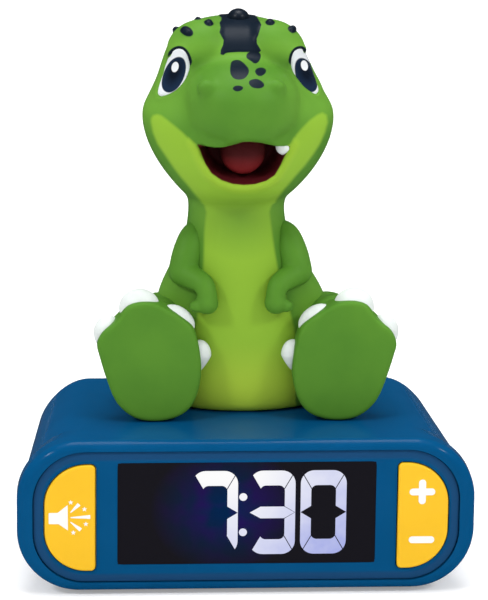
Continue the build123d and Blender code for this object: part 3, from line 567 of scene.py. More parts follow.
def slimmerShell(nodeName, name):
    # the solid's own normals are kept, so flat faces stay clean
    source = frame["nodes"][nodeName].data.copy()
    kept = source.attributes.new("keptNormal", "FLOAT_VECTOR", "CORNER")
    kept.data.foreach_set("vector", cornerNormals(source, source.corner_normals.foreach_get))
    bm = bmesh.new()
    bm.from_mesh(source)
    bpy.data.meshes.remove(source)
    bmesh.ops.scale(bm, vec=(1 / mm, 1 / mm, 1 / mm), verts=bm.verts[:])
    bmesh.ops.remove_doubles(bm, verts=bm.verts[:], dist=shell["weld"])
    mesh = meshOf(bm, name)
    co = points(mesh)
    x, y, z = co.T
    low, high = shell["heldHeights"]
    near, far = shell["depths"]
    held = (np.abs(x) < shell["heldWidth"]) & (z > low) & (z < high)
    for height in shell["screwZ"]:
        held |= np.hypot(np.abs(x) - shell["screwX"], z - height) < shell["screwReach"]
    share = np.clip((y - near) / (far - near), 0, 1) * softStep(np.abs(x), *shell["widths"])
    co[:, 0] -= np.sign(x) * np.where(held, 0, shell["drawIn"] * share)
    setPoints(mesh, co)
    mesh = addMesh(name, mesh, finishes["blue_shell"], (nodeName,)).data
    kept = mesh.attributes["keptNormal"]
    rows = cornerNormals(mesh, kept.data.foreach_get)
    mesh.attributes.remove(kept)
    mesh.normals_split_custom_set(rows.reshape(-1, 3).tolist())


slimmerShell("front_housing", "frontShell")
slimmerShell("rear_housing", "rearShell")
print("finishes are on the moulded parts")


# digits and key prints

digits = {
    "cellWidth": 16.5, "cellHeight": 31.6, "lefts": (-19.75, 0.9, 19.3), "middleZ": 31.25,
    "sideStroke": 3.8, "barStroke": 5.6, "middleStroke": 4.4, "outerRound": 4.9, "innerRound": 2.1,
    "cut": ((1.4, 2.4), (4.0, 7.0)), "gap": 0.32, "depth": 0.05, "y": -43.25,
    # middle bar: how far its shoulders and its two points lie from the strokes' edges
    "barTip": 0.2, "barEnds": (0.15, 0.25), "sideReach": 0.3,
    "colonX": -1.35, "colonZ": (37.16, 23.8), "dotRadius": 1.45,
    "lit": ("abc", "abgcd", "abcdef"),
    # white, and the blue it cools to
    "white": (1.0, 1.0, 1.0), "cool": (0.40, 0.44, 0.82),
    # where it cools, in metres: below the middle, and towards the right; then how much, and the clouds in it
    "coolMiddle": 0.0315, "coolBelow": (-0.016, 0.012), "coolAcross": (0.002, 0.030), "coolShare": 0.60,
    "cloud": (150.0, 2.0), "cloudSpan": (0.6, 1.15), "strength": 0.95,
}


def flatShape(corners, rounding=0.0, segments=6):
    # flat outline in x and z, with its corners rounded
    bm = bmesh.new()
    bm.faces.new([bm.verts.new((x, 0, z)) for x, z in corners])
    return bevelled(bm, bm.verts[:], rounding, segments, "VERTICES") if rounding else bm


def sliced(ring, wanted, place, across):
    near = [g for g in ring.verts[:] + ring.edges[:] + ring.faces[:] if wanted(g)]
    bmesh.ops.bisect_plane(ring, geom=near, dist=1e-5, plane_co=place, plane_no=across)


def digitShape(lit):
    w, h = digits["cellWidth"], digits["cellHeight"]
    side, bar, gap = digits["sideStroke"], digits["barStroke"], digits["gap"]
    outer = flatShape([(0, 0), (w, 0), (w, h), (0, h)], digits["outerRound"], 8)
    inner = [(side, bar), (w - side, bar), (w - side, h - bar), (side, h - bar)]
    ring = joined([outer, flatShape(inner, digits["innerRound"], 8)])
    edges = ring.edges[:]
    bmesh.ops.delete(ring, geom=ring.faces[:], context="FACES_ONLY")
    bmesh.ops.bridge_loops(ring, edges=edges)
    # slanted cuts through the four corners
    (x1, z1), (x2, z2) = digits["cut"]
    depthways = Vector((0, 1, 0))
    lines = []
    for flipX in (False, True):
        for flipZ in (False, True):
            at = Vector((w - x1 if flipX else x1, 0, h - z1 if flipZ else z1))
            way = Vector((x1 - x2 if flipX else x2 - x1, 0, z1 - z2 if flipZ else z2 - z1))
            lines.append((at, way.cross(depthways).normalized()))
    for at, across in lines:
        for share in (-0.5, 0.5):
            sliced(ring, lambda g: cornerOf(g, w, h) == cornerOf(at, w, h), at + across * gap * share, across)
    # notch at half height
    notch = (digits["middleStroke"] + gap) / 2
    middle = h / 2
    for x, inward in ((0, side), (w, -side)):
        for rise in (notch, -notch):
            across = Vector((inward, 0, rise)).normalized().cross(depthways)
            sliced(ring, lambda g: nearSide(g, x), (x, 0, middle), across)
    drop = [f for f in ring.faces if segmentOf(f.calc_center_median(), w, h, lines) not in lit]
    bmesh.ops.delete(ring, geom=drop, context="FACES")
    if "g" in lit:
        half, tip = digits["middleStroke"] / 2, side + digits["barTip"]
        left, right = digits["barEnds"]
        corners = [(left, middle), (tip, middle - half), (w - tip, middle - half),
                   (w - right, middle), (w - tip, middle + half), (tip, middle + half)]
        ring = joined([ring, flatShape(corners)])
    return ring


def cornerOf(thing, w, h):
    # which quarter of a digit's cell a point, edge or face lies in
    if isinstance(thing, Vector):
        middle = thing
    elif isinstance(thing, bmesh.types.BMVert):
        middle = thing.co
    elif isinstance(thing, bmesh.types.BMEdge):
        middle = (thing.verts[0].co + thing.verts[1].co) / 2
    else:
        middle = thing.calc_center_median()
    return middle.x > w / 2, middle.z > h / 2


def nearSide(thing, x):
    spots = [thing.co] if isinstance(thing, bmesh.types.BMVert) else [v.co for v in thing.verts]
    return all(abs(s.x - x) < digits["sideStroke"] + digits["sideReach"] for s in spots)


def segmentOf(at, w, h, lines):
    # which of the segments a to f a point of the ring is in; a gap or the notch gives none
    middle, gap = h / 2, digits["gap"]
    for line, across in lines:
        if cornerOf(at, w, h) == cornerOf(line, w, h) and abs((at - line).dot(across)) < gap / 2:
            return "gap"
    right, top = cornerOf(at, w, h)
    (x1, z1), (x2, z2) = digits["cut"]
    inX = w - at.x if right else at.x
    inZ = h - at.z if top else at.z
    if inZ < z1 + (inX - x1) * (z2 - z1) / (x2 - x1):
        return "a" if top else "d"
    notch = (digits["middleStroke"] + gap) / 2
    if abs(at.z - middle) < notch * min(1.0, inX / digits["sideStroke"]):
        return "notch"
    return {(True, True): "b", (True, False): "c", (False, False): "e", (False, True): "f"}[(right, top)]


def litMaterial():
    # white light that cools towards the lower right
    made, tree, place, surface = blank("litSegment")
    flat = {"Vector": place, "Location": (0, 0, -digits["coolMiddle"]), "Scale": (1, 0, 1)}
    local = node(tree, "ShaderNodeMapping", flat).outputs[0]
    apart = node(tree, "ShaderNodeSeparateXYZ", {0: local}).outputs
    low = ranged(tree, apart["Z"], 1.0, 0.0, *digits["coolBelow"])
    across = ranged(tree, apart["X"], 0.0, 1.0, *digits["coolAcross"])
    total = worked(tree, "MULTIPLY", worked(tree, "ADD", low, across), digits["coolShare"])
    cloud = ranged(tree, noise(tree, place, *digits["cloud"]), *digits["cloudSpan"])
    total = worked(tree, "MULTIPLY", total, cloud, use_clamp=True)
    setInputs(tree, surface, {
        "Emission Color": blended(tree, total, digits["white"], digits["cool"]),
        "Emission Strength": digits["strength"],
        "Base Color": (0.02, 0.02, 0.02, 1), "Roughness": 0.3,
    })
    return made


def makeDigits():
    finish = litMaterial()
    bottom = digits["middleZ"] - digits["cellHeight"] / 2
    shapes = {}
    for left, lit, word in zip(digits["lefts"], digits["lit"], ("digitHours", "digitTens", "digitUnits")):
        shapes[word] = pushed(digitShape(lit), (left, 0, bottom))
    dots = shapes["digitColon"] = bmesh.new()
    for z in digits["colonZ"]:
        spot = Matrix.Translation((digits["colonX"], 0, z)) @ rotation(90, "X")
        bmesh.ops.create_circle(dots, cap_ends=True, segments=32, radius=digits["dotRadius"], matrix=spot)
    for word, shape in shapes.items():
        thickened(shape, digits["y"] - digits["depth"], digits["depth"] * 0.8)
        addMesh(word, meshOf(shape, word), finish, smooth=False)


makeDigits()
print("the display shows the time")

prints = {
    "y": -44.3, "depth": 0.08,
    "horn": ((-71.1, 32.1), (-67.9, 32.1), (-64.3, 35.1), (-64.2, 25.4), (-67.6, 27.9), (-71.1, 27.9)),
    "rays": (((-63.3, 32.2), (-60.2, 35.3)), ((-63.3, 30.3), (-56.2, 30.5)), ((-63.3, 28.6), (-59.6, 25.6))),
    "rayWidth": (0.35, 1.5), "hornRound": 0.3, "rayRound": 0.16,
    "sparks": ((-63.2, 36.0), (-58.3, 33.4), (-57.8, 27.8), (-62.3, 24.6)),
    "sparkSize": 1.0, "sparkWaist": 0.42,
    "plus": (63.05, 38.9), "minus": (63.15, 20.75), "arm": 9.3, "bar": 2.6, "barRound": 0.98, "lower": 0.01,
    "look": {"colour": (0.88, 0.87, 0.84), "shade": 0.96, "rough": (0.35, 0.45)},
}


def barShape(centre, width, height):
    x, z = centre
    w, h = width / 2, height / 2
    corner = min(w, h) * prints["barRound"]
    return flatShape([(x - w, z - h), (x + w, z - h), (x + w, z + h), (x - w, z + h)], corner)


def soundMark():
    # horn with rays and small stars
    shapes = [flatShape(prints["horn"], prints["hornRound"], 3)]
    for start, end in prints["rays"]:
        start, end = Vector(start), Vector(end)
        across = (end - start).normalized().orthogonal()
        near, far = (across * w / 2 for w in prints["rayWidth"])
        shapes.append(flatShape([start + near, end + far, end - far, start - near], prints["rayRound"], 3))
    for x, z in prints["sparks"]:
        corners = []
        for k in range(10):
            angle = math.pi / 2 + k * math.pi / 5
            reach = prints["sparkSize"] * (prints["sparkWaist"] if k % 2 else 1)
            corners.append((x + reach * math.cos(angle), z + reach * math.sin(angle)))
        shapes.append(flatShape(corners))
    return thickened(joined(shapes), 0.0, prints["depth"] * 0.9)


def plusMinusMark():
    # the bar that crosses the plus lies a hair lower, so that no two faces share a plane
    arm, bar, depth = prints["arm"], prints["bar"], prints["depth"]
    across = joined([barShape(prints[word], arm, bar) for word in ("plus", "minus")])
    upright = thickened(barShape(prints["plus"], bar, arm), prints["lower"], depth * 0.8)
    return joined([thickened(across, 0.0, depth * 0.9), upright])


def makePrints():
    finish = plastic("whitePrint", prints["look"])
    marks = (("soundMark", "sound_button", soundMark), ("plusMinusMark", "plus_minus_button", plusMinusMark))
    for word, body, drawn in marks:
        shape = pushed(drawn(), (0, prints["y"] - prints["depth"], 0))
        addMesh(word, meshOf(shape, word), finish, body=body, smooth=False)


makePrints()
print("the keys have their marks")


# figure

figure = {
    "headShift": -2.1, "footShift": 1.0, "shiftFrom": 80.0, "shiftTo": 134.0, "seat": 58.02, "tailSeat": 58.1,
    # besides the toy's own colours, this holds a lighter green that is partly painted light, a warm green
    # that is painted light low on the belly, a darker green that is painted shade under the chin, and a lip
    # colour that is partly a painted highlight
    "green": (0.090, 0.245, 0.024), "deep": (0.066, 0.200, 0.020), "belly": (0.240, 0.430, 0.034),
    "lip": (0.270, 0.455, 0.034), "navy": (0.006, 0.012, 0.022), "maroon": (0.085, 0.008, 0.011),
    "light": (0.135, 0.325, 0.033), "amber": (0.40, 0.585, 0.050), "throat": (0.150, 0.300, 0.030),
    "grain": {"rough": (0.44, 0.54), "cloudScale": 45.0, "grainScale": 1500.0, "grainStrength": 0.22,
              "grainDepth": 0.00004},
    "shine": 0.09, "navyRough": 0.36,
}
sides = ((-1, "Left"), (1, "Right"))
# depths of the upright sheets on which outlines of the head are drawn
sheets = {"mouth": -25.0, "throat": -20.0, "eyes": -5.0, "crown": 0.0}


def addSided(part, word, mesh, finish):
    # a piece of the figure's left or right side
    replaced = f"figure_{part}_{word}".lower()
    addMesh(f"figure{part}{word}", mesh, finish, (replaced,))


def lean(z):
    # the figure leans: its feet lie right of the middle, its head left of it
    share = softStep(np.asarray(z, float), figure["shiftFrom"], figure["shiftTo"])
    return figure["footShift"] + (figure["headShift"] - figure["footShift"]) * share


def turnedBack(u, v, degrees):
    # coordinates along and across a direction that is turned by some degrees
    t = math.radians(degrees)
    return u * math.cos(t) + v * math.sin(t), v * math.cos(t) - u * math.sin(t)


def viewer():
    # the camera's place, from the head's own middle
    px, py, pz = view["place"]
    return px - figure["headShift"], py, pz


def seen(co, sheet):
    # where points of the head appear on a sheet, looked at from the front
    px, py, pz = viewer()
    share = (sheets[sheet] - py) / (co[:, 1] - py)
    return px + (co[:, 0] - px) * share, pz + (co[:, 2] - pz) * share


def signedDistance(px, pz, outline):
    # distance to a closed outline, above zero inside
    ring = np.array(outline, float)
    inside = np.zeros(len(px), bool)
    best = np.full(len(px), 1e9)
    for (x1, z1), (x2, z2) in zip(ring, np.roll(ring, -1, axis=0)):
        dx, dz = x2 - x1, z2 - z1
        t = np.clip(((px - x1) * dx + (pz - z1) * dz) / (dx * dx + dz * dz), 0, 1)
        best = np.minimum(best, np.hypot(px - x1 - t * dx, pz - z1 - t * dz))
        if dz:
            inside ^= ((z1 > pz) != (z2 > pz)) & (px < dx * (pz - z1) / dz + x1)
    return np.where(inside, best, -best)


def rounded(outline, count=3):
    # closed outline made smooth
    ring = np.array(outline, float)
    line = through(np.vstack([ring[-2:], ring, ring[:3]]), count)
    return line[2 * count:(2 + len(ring)) * count]


def vinyl(name, fields):
    # matt sprayed vinyl: one base green, with the toy's sprayed paint and painted light and shade laid over
    # it
    made, tree, place, surface = blank(name)
    cloud = grained(tree, place, surface, figure["grain"])
    colour = blended(tree, ranged(tree, cloud, 0.35, 1.0, 0.35, 0.65), figure["deep"], figure["green"])
    for field, tone, edge in fields:
        share = ranged(tree, attributeValue(tree, field), 0.0, 1.0, -edge, edge)
        colour = blended(tree, share, colour, tone)
        if field == "navyPaint":
            # the navy paint is glossier
            matt = surface.inputs["Roughness"].links[0].from_socket
            mixed = {0: share, 2: matt, 3: figure["navyRough"]}
            gloss = node(tree, "ShaderNodeMix", mixed, data_type="FLOAT")
            setInputs(tree, surface, {"Roughness": gloss.outputs[0]})
    setInputs(tree, surface, {"Base Color": colour, "Specular IOR Level": figure["shine"]})
    return made


skin = {
    # height, half width, front, back
    "torso": (
        (58.0, 29.5, -9.0, 28.0), (62.0, 31.5, -10.5, 29.5), (70.0, 33.2, -11.5, 31.0),
        (82.0, 33.6, -12.0, 30.5), (92.0, 32.4, -11.4, 29.2), (100.0, 30.4, -10.6, 28.2),
        (107.0, 27.0, -10.0, 26.8), (114.0, 22.8, -9.4, 25.0), (122.0, 19.2, -8.8, 22.8),
        (130.0, 17.8, -8.6, 21.0), (137.0, 17.6, -8.6, 20.4), (144.0, 17.0, -7.0, 19.6),
    ),
    "head": (
        (137.0, 18.4, -10.5, 20.4), (142.2, 22.4, -19.0, 20.0), (148.2, 26.9, -23.6, 20.2),
        (154.1, 30.6, -25.6, 21.2), (160.1, 33.4, -25.4, 22.6), (166.0, 34.8, -24.2, 24.4),
        (170.0, 34.8, -22.6, 25.4), (174.8, 32.2, -20.0, 26.2), (180.7, 29.0, -17.5, 26.5),
        (186.5, 26.8, -15.0, 26.2), (192.3, 24.4, -12.5, 25.2), (196.5, 21.6, -10.0, 23.2),
        (200.0, 16.5, -6.0, 19.5), (202.2, 9.0, -1.0, 14.0),
    ),
    "snout": (((0.8, -13.5, 176.8), (20.6, 20.4, 14.4)), ((0.8, -16.0, 171.0), (20.0, 17.6, 9.4))),
    "brow": ((13.4, -2.0, 193.0), (11.9, 10.5, 9.9), (0, 22, 0)),
    "nostril": ((12.0, -26.1, 183.4), (4.1, 3.0, 3.2)),
    "voxel": 0.9, "relax": (45, 9), "fineVoxel": 0.66, "fineRelax": 2,
    # the crown leans a little further left: how far, and between which heights
    "crown": (-1.3, 166.0, 202.0),
}
face = {
    # points in front of this depth and above this height are the front of the head
    "front": -6.0, "chin": 140.0,
    "mouthDepth": 17.0, "mouthSlope": 2.4, "lipRise": 0.8, "lipReach": 1.4, "lipSpot": 1.3, "lipEnd": 0.5,
    # outline of the open mouth, on the mouth's sheet
    "mouth": (
        (-16.5, 163.2), (-15.3, 161.2), (-14.4, 158.8), (-13.1, 155.6), (-10.8, 152.0), (-7.2, 149.5),
        (-3.2, 148.1), (0.8, 147.7), (4.8, 148.0), (8.8, 149.2), (11.9, 151.3), (14.0, 155.1), (15.3, 158.3),
        (16.4, 160.1), (17.5, 162.1), (15.7, 161.8), (12.6, 161.9), (9.9, 162.6), (6.4, 163.4), (2.8, 163.8),
        (0.2, 163.7), (-3.4, 162.6), (-6.5, 161.7), (-9.6, 161.5), (-13.1, 162.2),
    ),
    # yellow green of throat, chin and cheeks, on the throat's sheet
    "pale": (
        (-11.3, 133.8), (-12.7, 138.4), (-14.5, 141.2), (-16.8, 143.9), (-19.0, 146.7), (-21.7, 149.9),
        (-24.4, 153.6), (-27.1, 157.7), (-29.8, 161.8), (-31.4, 165.9), (-32.1, 169.5), (-32.1, 170.9),
        (-31.4, 172.1), (-30.0, 172.5), (-28.5, 172.1), (-26.3, 170.4), (-23.6, 168.2), (-20.9, 165.9),
        (-18.2, 163.1), (-16.6, 161.6), (-14.6, 159.6), (-9.3, 157.4), (-6.2, 157.6), (-3.1, 158.5),
        (0.5, 159.5), (3.1, 159.6), (6.7, 159.3), (10.3, 158.4), (13.0, 158.2), (16.0, 160.0), (17.9, 161.6),
        (19.6, 164.9), (21.8, 167.6), (24.4, 170.3), (27.1, 172.3), (28.8, 173.0), (30.3, 172.1),
        (30.7, 169.4), (29.8, 165.8), (28.1, 161.7), (25.9, 158.0), (22.9, 153.9), (19.8, 150.2),
        (17.6, 147.5), (15.0, 144.3), (12.8, 141.1), (11.7, 137.4), (11.4, 133.7),
    ),
    # navy patch of the forehead, on the crown's sheet
    "crest": (
        (-6.9, 214.0), (-6.4, 202.5), (-7.1, 201.4), (-6.7, 199.8), (-7.1, 198.0), (-6.1, 196.2),
        (-5.5, 195.2), (-5.7, 193.4), (-6.5, 191.6), (-6.6, 190.0), (-5.7, 189.6), (-4.5, 190.5),
        (-2.7, 190.7), (-0.5, 190.8), (2.2, 190.8), (4.9, 190.9), (7.2, 191.0), (8.1, 191.2), (7.4, 192.5),
        (6.5, 193.9), (6.4, 195.7), (7.0, 197.1), (7.5, 198.9), (8.0, 200.7), (7.3, 202.1), (6.4, 203.4),
        (6.6, 214.0),
    ),
    # flat spots of the snout, on the mouth's sheet
    "spots": (
        ((-4.4, 191.1), (-3.7, 192.8), (-1.4, 193.1), (0.6, 191.7), (2.0, 189.9), (2.0, 188.3),
         (0.8, 186.6), (-1.3, 186.0), (-3.3, 186.6), (-4.4, 188.4)),
        ((1.6, 195.6), (3.5, 196.2), (5.4, 196.0), (6.3, 194.7), (5.7, 192.7), (4.3, 191.8), (2.7, 192.8),
         (1.2, 194.0)),
        ((4.3, 189.0), (5.0, 190.1), (6.9, 190.4), (8.2, 189.5), (7.8, 188.2), (6.4, 187.3), (5.0, 187.7)),
        ((2.2, 184.7), (2.7, 185.9), (5.0, 186.3), (7.0, 185.2), (7.6, 183.8), (6.1, 182.9), (3.5, 183.2)),
        ((-3.5, 183.0), (-2.7, 183.8), (-1.0, 183.9), (0.2, 183.2), (-0.4, 182.2), (-2.0, 181.8),
         (-3.2, 182.3)),
    ),
    # raised beads of the brows, on the crown's sheet: x, z, long, wide, turn
    "beads": (
        (-18.9, 198.5, 3.1, 1.6, -33), (-22.9, 199.2, 1.6, 1.5, 0), (-14.9, 203.5, 1.8, 1.3, 0),
        (-10.9, 201.5, 1.8, 2.0, 0), (-12.4, 204.0, 1.2, 0.9, 0), (9.3, 204.0, 1.2, 1.0, 0),
        (11.1, 201.7, 1.8, 1.9, 0), (14.6, 203.7, 1.8, 1.2, 0), (19.2, 199.2, 2.6, 1.5, 32),
        (22.0, 199.9, 1.5, 1.4, 0),
    ),
    "beadRise": 1.1,
    # outlines of the left and right eye, on the eyes' sheet
    "eyes": (
        ((-29.1, 176.2), (-28.2, 175.7), (-25.7, 176.4), (-22.6, 178.2), (-19.9, 181.2), (-18.4, 184.4),
         (-17.9, 187.2), (-18.5, 190.1), (-20.0, 192.4), (-21.8, 193.1), (-23.8, 192.2), (-25.4, 189.9),
         (-26.7, 186.3), (-27.9, 182.2), (-29.0, 178.5)),
        ((28.3, 176.9), (27.7, 176.4), (26.2, 177.1), (23.2, 179.4), (20.7, 182.4), (19.0, 185.3),
         (18.5, 188.0), (19.0, 190.8), (20.3, 192.6), (22.1, 193.0), (23.6, 191.7), (24.8, 189.1),
         (26.2, 185.3), (27.6, 181.2), (28.5, 178.2)),
    ),
    # iris: middle, half width, half height, turn; glint: middle
    "iris": ((-23.3, 183.6, 3.7, 6.9, -23.0), (23.8, 183.4, 3.5, 6.7, 24.0)),
    "pupilShift": (0.25, 0.8), "pupilShare": 0.66,
    "glint": ((-22.7, 186.4), (22.9, 186.9)), "glintHalf": (1.25, 1.9),
    "socket": 1.5, "socketRim": (-0.1, 0.8), "socketSide": (-8.0, -5.0), "socketAbove": 170.0,
    "lid": 0.45, "lidSpot": 0.7, "lidReach": 0.7,
    # the lens: how far it bulges, which way it faces, and how deep its hidden back goes
    "bulge": 0.55, "bulgePower": 1.3, "facing": (0.77, -0.60, 0.20), "back": 2.4,
}
# painted areas; heights and depths in millimetres
paint = {
    "reach": 4.0, "neck": 137.0,
    "mouthBehind": 4.0, "mouthInset": 0.15, "lipWidth": 2.9, "lipTop": 164.5,
    # half width of the pale belly at heights, and how far back the pale colour goes on the body and the head
    "belly": ((58, 19.0), (70, 18.4), (90, 18.0), (100, 16.0), (109, 13.9), (118, 12.9), (126, 12.2),
              (133, 11.4), (137, 12.6)),
    "paleFrom": 136.0, "paleBehind": (3.0, -2.0), "paleHead": 140.0,
    # painted light low on the belly: the height it stays under, and the heights between which it fades in
    "amberTop": 90.0, "amberFade": (-88.0, -66.0),
    # painted shade under the chin: middle, half width, half height
    "throat": (0.5, 131.5, 9.5, 8.0), "throatBehind": 2.0,
    # lighter green on cheeks and brows of the head and on the flanks of the body, fading to the back: partly
    # the toy's paint, partly painted light where these sides face the lamps
    "cheekSide": (12, 25), "cheekUp": (158, 172), "cheekShare": 0.75,
    "cheekFade": (192, 199), "cheekLoss": 0.5,
    "browUp": (184, 192), "browFade": (194, 200), "browLoss": 0.65,
    "flankTop": 112, "flankSide": (15, 23), "flankUp": (-112, -96), "lightBack": (0, 18),
    # navy: forehead patch, stripe down the back with its waves, spots, and lash lines over the eyes
    "crestBehind": 9.0, "crestAbove": 185.0,
    "stripeHalf": 7.2, "stripeMiddle": 0.2, "stripeFrom": 7.0, "stripeAbove": 64.0,
    "waves": ((0.7, 0.55, 0.0), (0.3, 1.15, 1.0)),
    "spotsBehind": -8.0, "spotsAbove": 176.0,
    "lashHalf": 0.68, "lashShift": 0.35, "lashHigh": (0.4, 3.2), "lashFront": (-4.0, 0.0),
    "lashLine": (188.0, 0.4, 23.0), "lashBehind": 8.0, "lashAbove": 170.0,
    "relief": 0.3, "reliefRim": (-0.2, 0.5), "beadEdge": 1.05, "beadFoot": (1.15, 0.75), "beadReach": 1.2,
}


def paintField(mesh, name, depth):
    # how far inside a painted area each point lies, in millimetres; the shader draws the edge at zero
    layer = mesh.attributes.new(name, "FLOAT", "POINT")
    layer.data.foreach_set("value", np.clip(depth, -paint["reach"], paint["reach"]).astype(np.float32))


def spread(share):
    # a share from 0 to 1 as a paint field
    return (share * 2 - 1) * paint["reach"]


def only(where, field):
    return np.where(where, field, -paint["reach"])


def headTree(mesh):
    return BVHTree.FromPolygons([v.co for v in mesh.vertices], [tuple(f.vertices) for f in mesh.polygons])


def lookedUp(tree, x, z, sheet):
    # the head's skin behind a spot on a sheet
    start, spot = Vector(viewer()), Vector((x, sheets[sheet], z))
    place = tree.ray_cast(start, (spot - start).normalized())[0]
    return tree.find_nearest(spot)[0] if place is None else place


def makeSkin():
    # soft body, neck and snout first, then the sharper brows and nostrils
    bodies = [levelBody(skin["torso"]), levelBody(skin["head"])] + [egg(*row) for row in skin["snout"]]
    base = bmesh.new()
    base.from_mesh(fused(bodies, "skin", skin["voxel"], skin["relax"][0]))
    parts = [base] + eggPair(*skin["brow"]) + eggPair(*skin["nostril"])
    mesh = fused(parts, "skin", skin["voxel"], skin["relax"][1])
    co = points(mesh)
    far, low, high = skin["crown"]
    co[:, 0] += far * softStep(co[:, 2], low, high)
    setPoints(mesh, co)
    tree = headTree(mesh)
    setPoints(mesh, opened(co, points(mesh, "normal")))
    mesh = reskinned(mesh, "skin", skin["fineVoxel"], skin["fineRelax"])
    paintSkin(mesh, tree)
    shiftedMesh(mesh, lean)
    addMesh("figureSkin", mesh, vinyl("skinVinyl", sprayAndPaintedLight), ("figure_torso", "figure_head"))
    return tree


def opened(co, out):
    # sinks the mouth behind its lips, and the eyes' sockets behind their lids
    front = (co[:, 1] < face["front"]) & (co[:, 2] > face["chin"])
    apart = signedDistance(*seen(co, "mouth"), face["mouth"])
    rim = np.exp(-((apart + face["lipSpot"]) / face["lipReach"]) ** 2) * front * (apart < face["lipEnd"])
    co = co + out * (rim * face["lipRise"])[:, None]
    co[:, 1] += np.where(front, softStep(apart, 0.0, face["mouthSlope"]) * face["mouthDepth"], 0)
    for outline in face["eyes"]:
        inside = signedDistance(*seen(co, "eyes"), rounded(outline))
        facing = softStep(-co[:, 1], *face["socketSide"]) * (co[:, 2] > face["socketAbove"])
        lid = face["lid"] * np.exp(-((inside + face["lidSpot"]) / face["lidReach"]) ** 2)
        push = lid - face["socket"] * softStep(inside, *face["socketRim"])
        co = co + out * (facing * push)[:, None]
    return co


def paleField(co):
    x, y, z = co.T
    heights, halves = zip(*paint["belly"])
    belly = np.interp(z, heights, halves) - np.abs(x)
    pale = np.where(z > paint["paleFrom"], signedDistance(*seen(co, "throat"), face["pale"]), belly)
    onBody, onHead = paint["paleBehind"]
    return only(y < np.where(z > paint["paleHead"], onHead, onBody), pale)


def lighterGreenAndPaintedLightField(co):
    # lighter green on cheeks, brows and flanks, partly painted light where these face the lamps, fading to
    # the back
    x, y, z = co.T
    u, v = seen(co, "crown")
    cheeks = paint["cheekShare"] * softStep(np.abs(u), *paint["cheekSide"]) * softStep(v, *paint["cheekUp"])
    cheeks = cheeks * (1 - paint["cheekLoss"] * softStep(z, *paint["cheekFade"]))
    brows = softStep(v, *paint["browUp"]) * (1 - paint["browLoss"] * softStep(z, *paint["browFade"]))
    flanks = softStep(np.abs(x), *paint["flankSide"]) * softStep(-z, *paint["flankUp"])
    light = np.where(z > paint["neck"], np.maximum(cheeks, brows), 0)
    light = np.where(z < paint["flankTop"], flanks, light)
    return spread(light * (1 - softStep(y, *paint["lightBack"])))


def paintedThroatShadeField(co):
    # painted shade under the chin, darkest in its middle
    x, y, z = co.T
    middleX, middleZ, halfX, halfZ = paint["throat"]
    far = np.hypot((x - middleX) / halfX, (z - middleZ) / halfZ)
    return only(y < paint["throatBehind"], (1 - far) * paint["reach"])


def lashField(co, side, outline):
    across, height = seen(co, "eyes")
    inside = signedDistance(across, height, rounded(outline))
    level, slope, middle = paint["lashLine"]
    high = height - level - slope * (side * across - middle)
    half = paint["lashHalf"] * softStep(high, *paint["lashHigh"]) * softStep(-co[:, 1], *paint["lashFront"])
    where = (co[:, 1] < paint["lashBehind"]) & (co[:, 2] > paint["lashAbove"])
    return only(where, half - np.abs(inside + paint["lashShift"]))


def beadDepth(co, tree, bead):
    # how far from a bead's middle each point lies, with 1 at its edge
    x, z, long, wide, turn = bead
    u, v = seen(co, "crown")
    a, b = turnedBack(u - x, v - z, turn)
    place = np.array(lookedUp(tree, x, z, "crown"))
    reach = np.linalg.norm(co - place, axis=1) / (paint["beadReach"] * long)
    return (np.hypot(a / long, b / wide) ** 4 + reach ** 4) ** 0.25


def paintSkin(mesh, tree):
    co = points(mesh)
    out = points(mesh, "normal")
    x, y, z = co.T
    mouth = signedDistance(*seen(co, "mouth"), face["mouth"])
    mouth = only((y < paint["mouthBehind"]) & (z > paint["neck"]), mouth)
    pale = paleField(co)
    # lighter band round the mouth below the lip's top: lip paint, partly a painted highlight along the rolled
    # lower lip
    lip = np.minimum(paint["lipWidth"] + mouth, paint["lipTop"] - z)
    # painted light: a brighter, warmer green low on the belly, lifting the shade between the legs
    amber = spread(softStep(-z, *paint["amberFade"]))

    crest = signedDistance(*seen(co, "crown"), face["crest"])
    crest = only((y < paint["crestBehind"]) & (z > paint["crestAbove"]), crest)
    half = paint["stripeHalf"] + sum(size * np.sin(z * pace + start) for size, pace, start in paint["waves"])
    stripe = half - np.abs(x - paint["stripeMiddle"])
    navy = np.maximum(crest, only((y > paint["stripeFrom"]) & (z > paint["stripeAbove"]), stripe))
    relief = paint["relief"] * softStep(navy, *paint["reliefRim"])
    flat = (y < paint["spotsBehind"]) & (z > paint["spotsAbove"])
    for outline in face["spots"]:
        navy = np.maximum(navy, only(flat, signedDistance(*seen(co, "mouth"), rounded(outline))))
    for (side, _), outline in zip(sides, face["eyes"]):
        navy = np.maximum(navy, lashField(co, side, outline))
    foot, top = paint["beadFoot"]
    for bead in face["beads"]:
        far = beadDepth(co, tree, bead)
        navy = np.maximum(navy, (paint["beadEdge"] - far) * min(bead[2:4]))
        relief = np.maximum(relief, face["beadRise"] * softStep(foot - far, 0.0, top))

    paintField(mesh, "lighterGreenAndPaintedLight", lighterGreenAndPaintedLightField(co))
    paintField(mesh, "palePaint", pale)
    paintField(mesh, "amberPaint", only((pale > 0) & (z < paint["amberTop"]), amber))
    paintField(mesh, "paintedThroatShade", paintedThroatShadeField(co))
    paintField(mesh, "lipPaint", np.minimum(lip, pale))
    paintField(mesh, "navyPaint", navy)
    paintField(mesh, "mouthPaint", mouth - paint["mouthInset"])
    setPoints(mesh, co + out * relief[:, None])


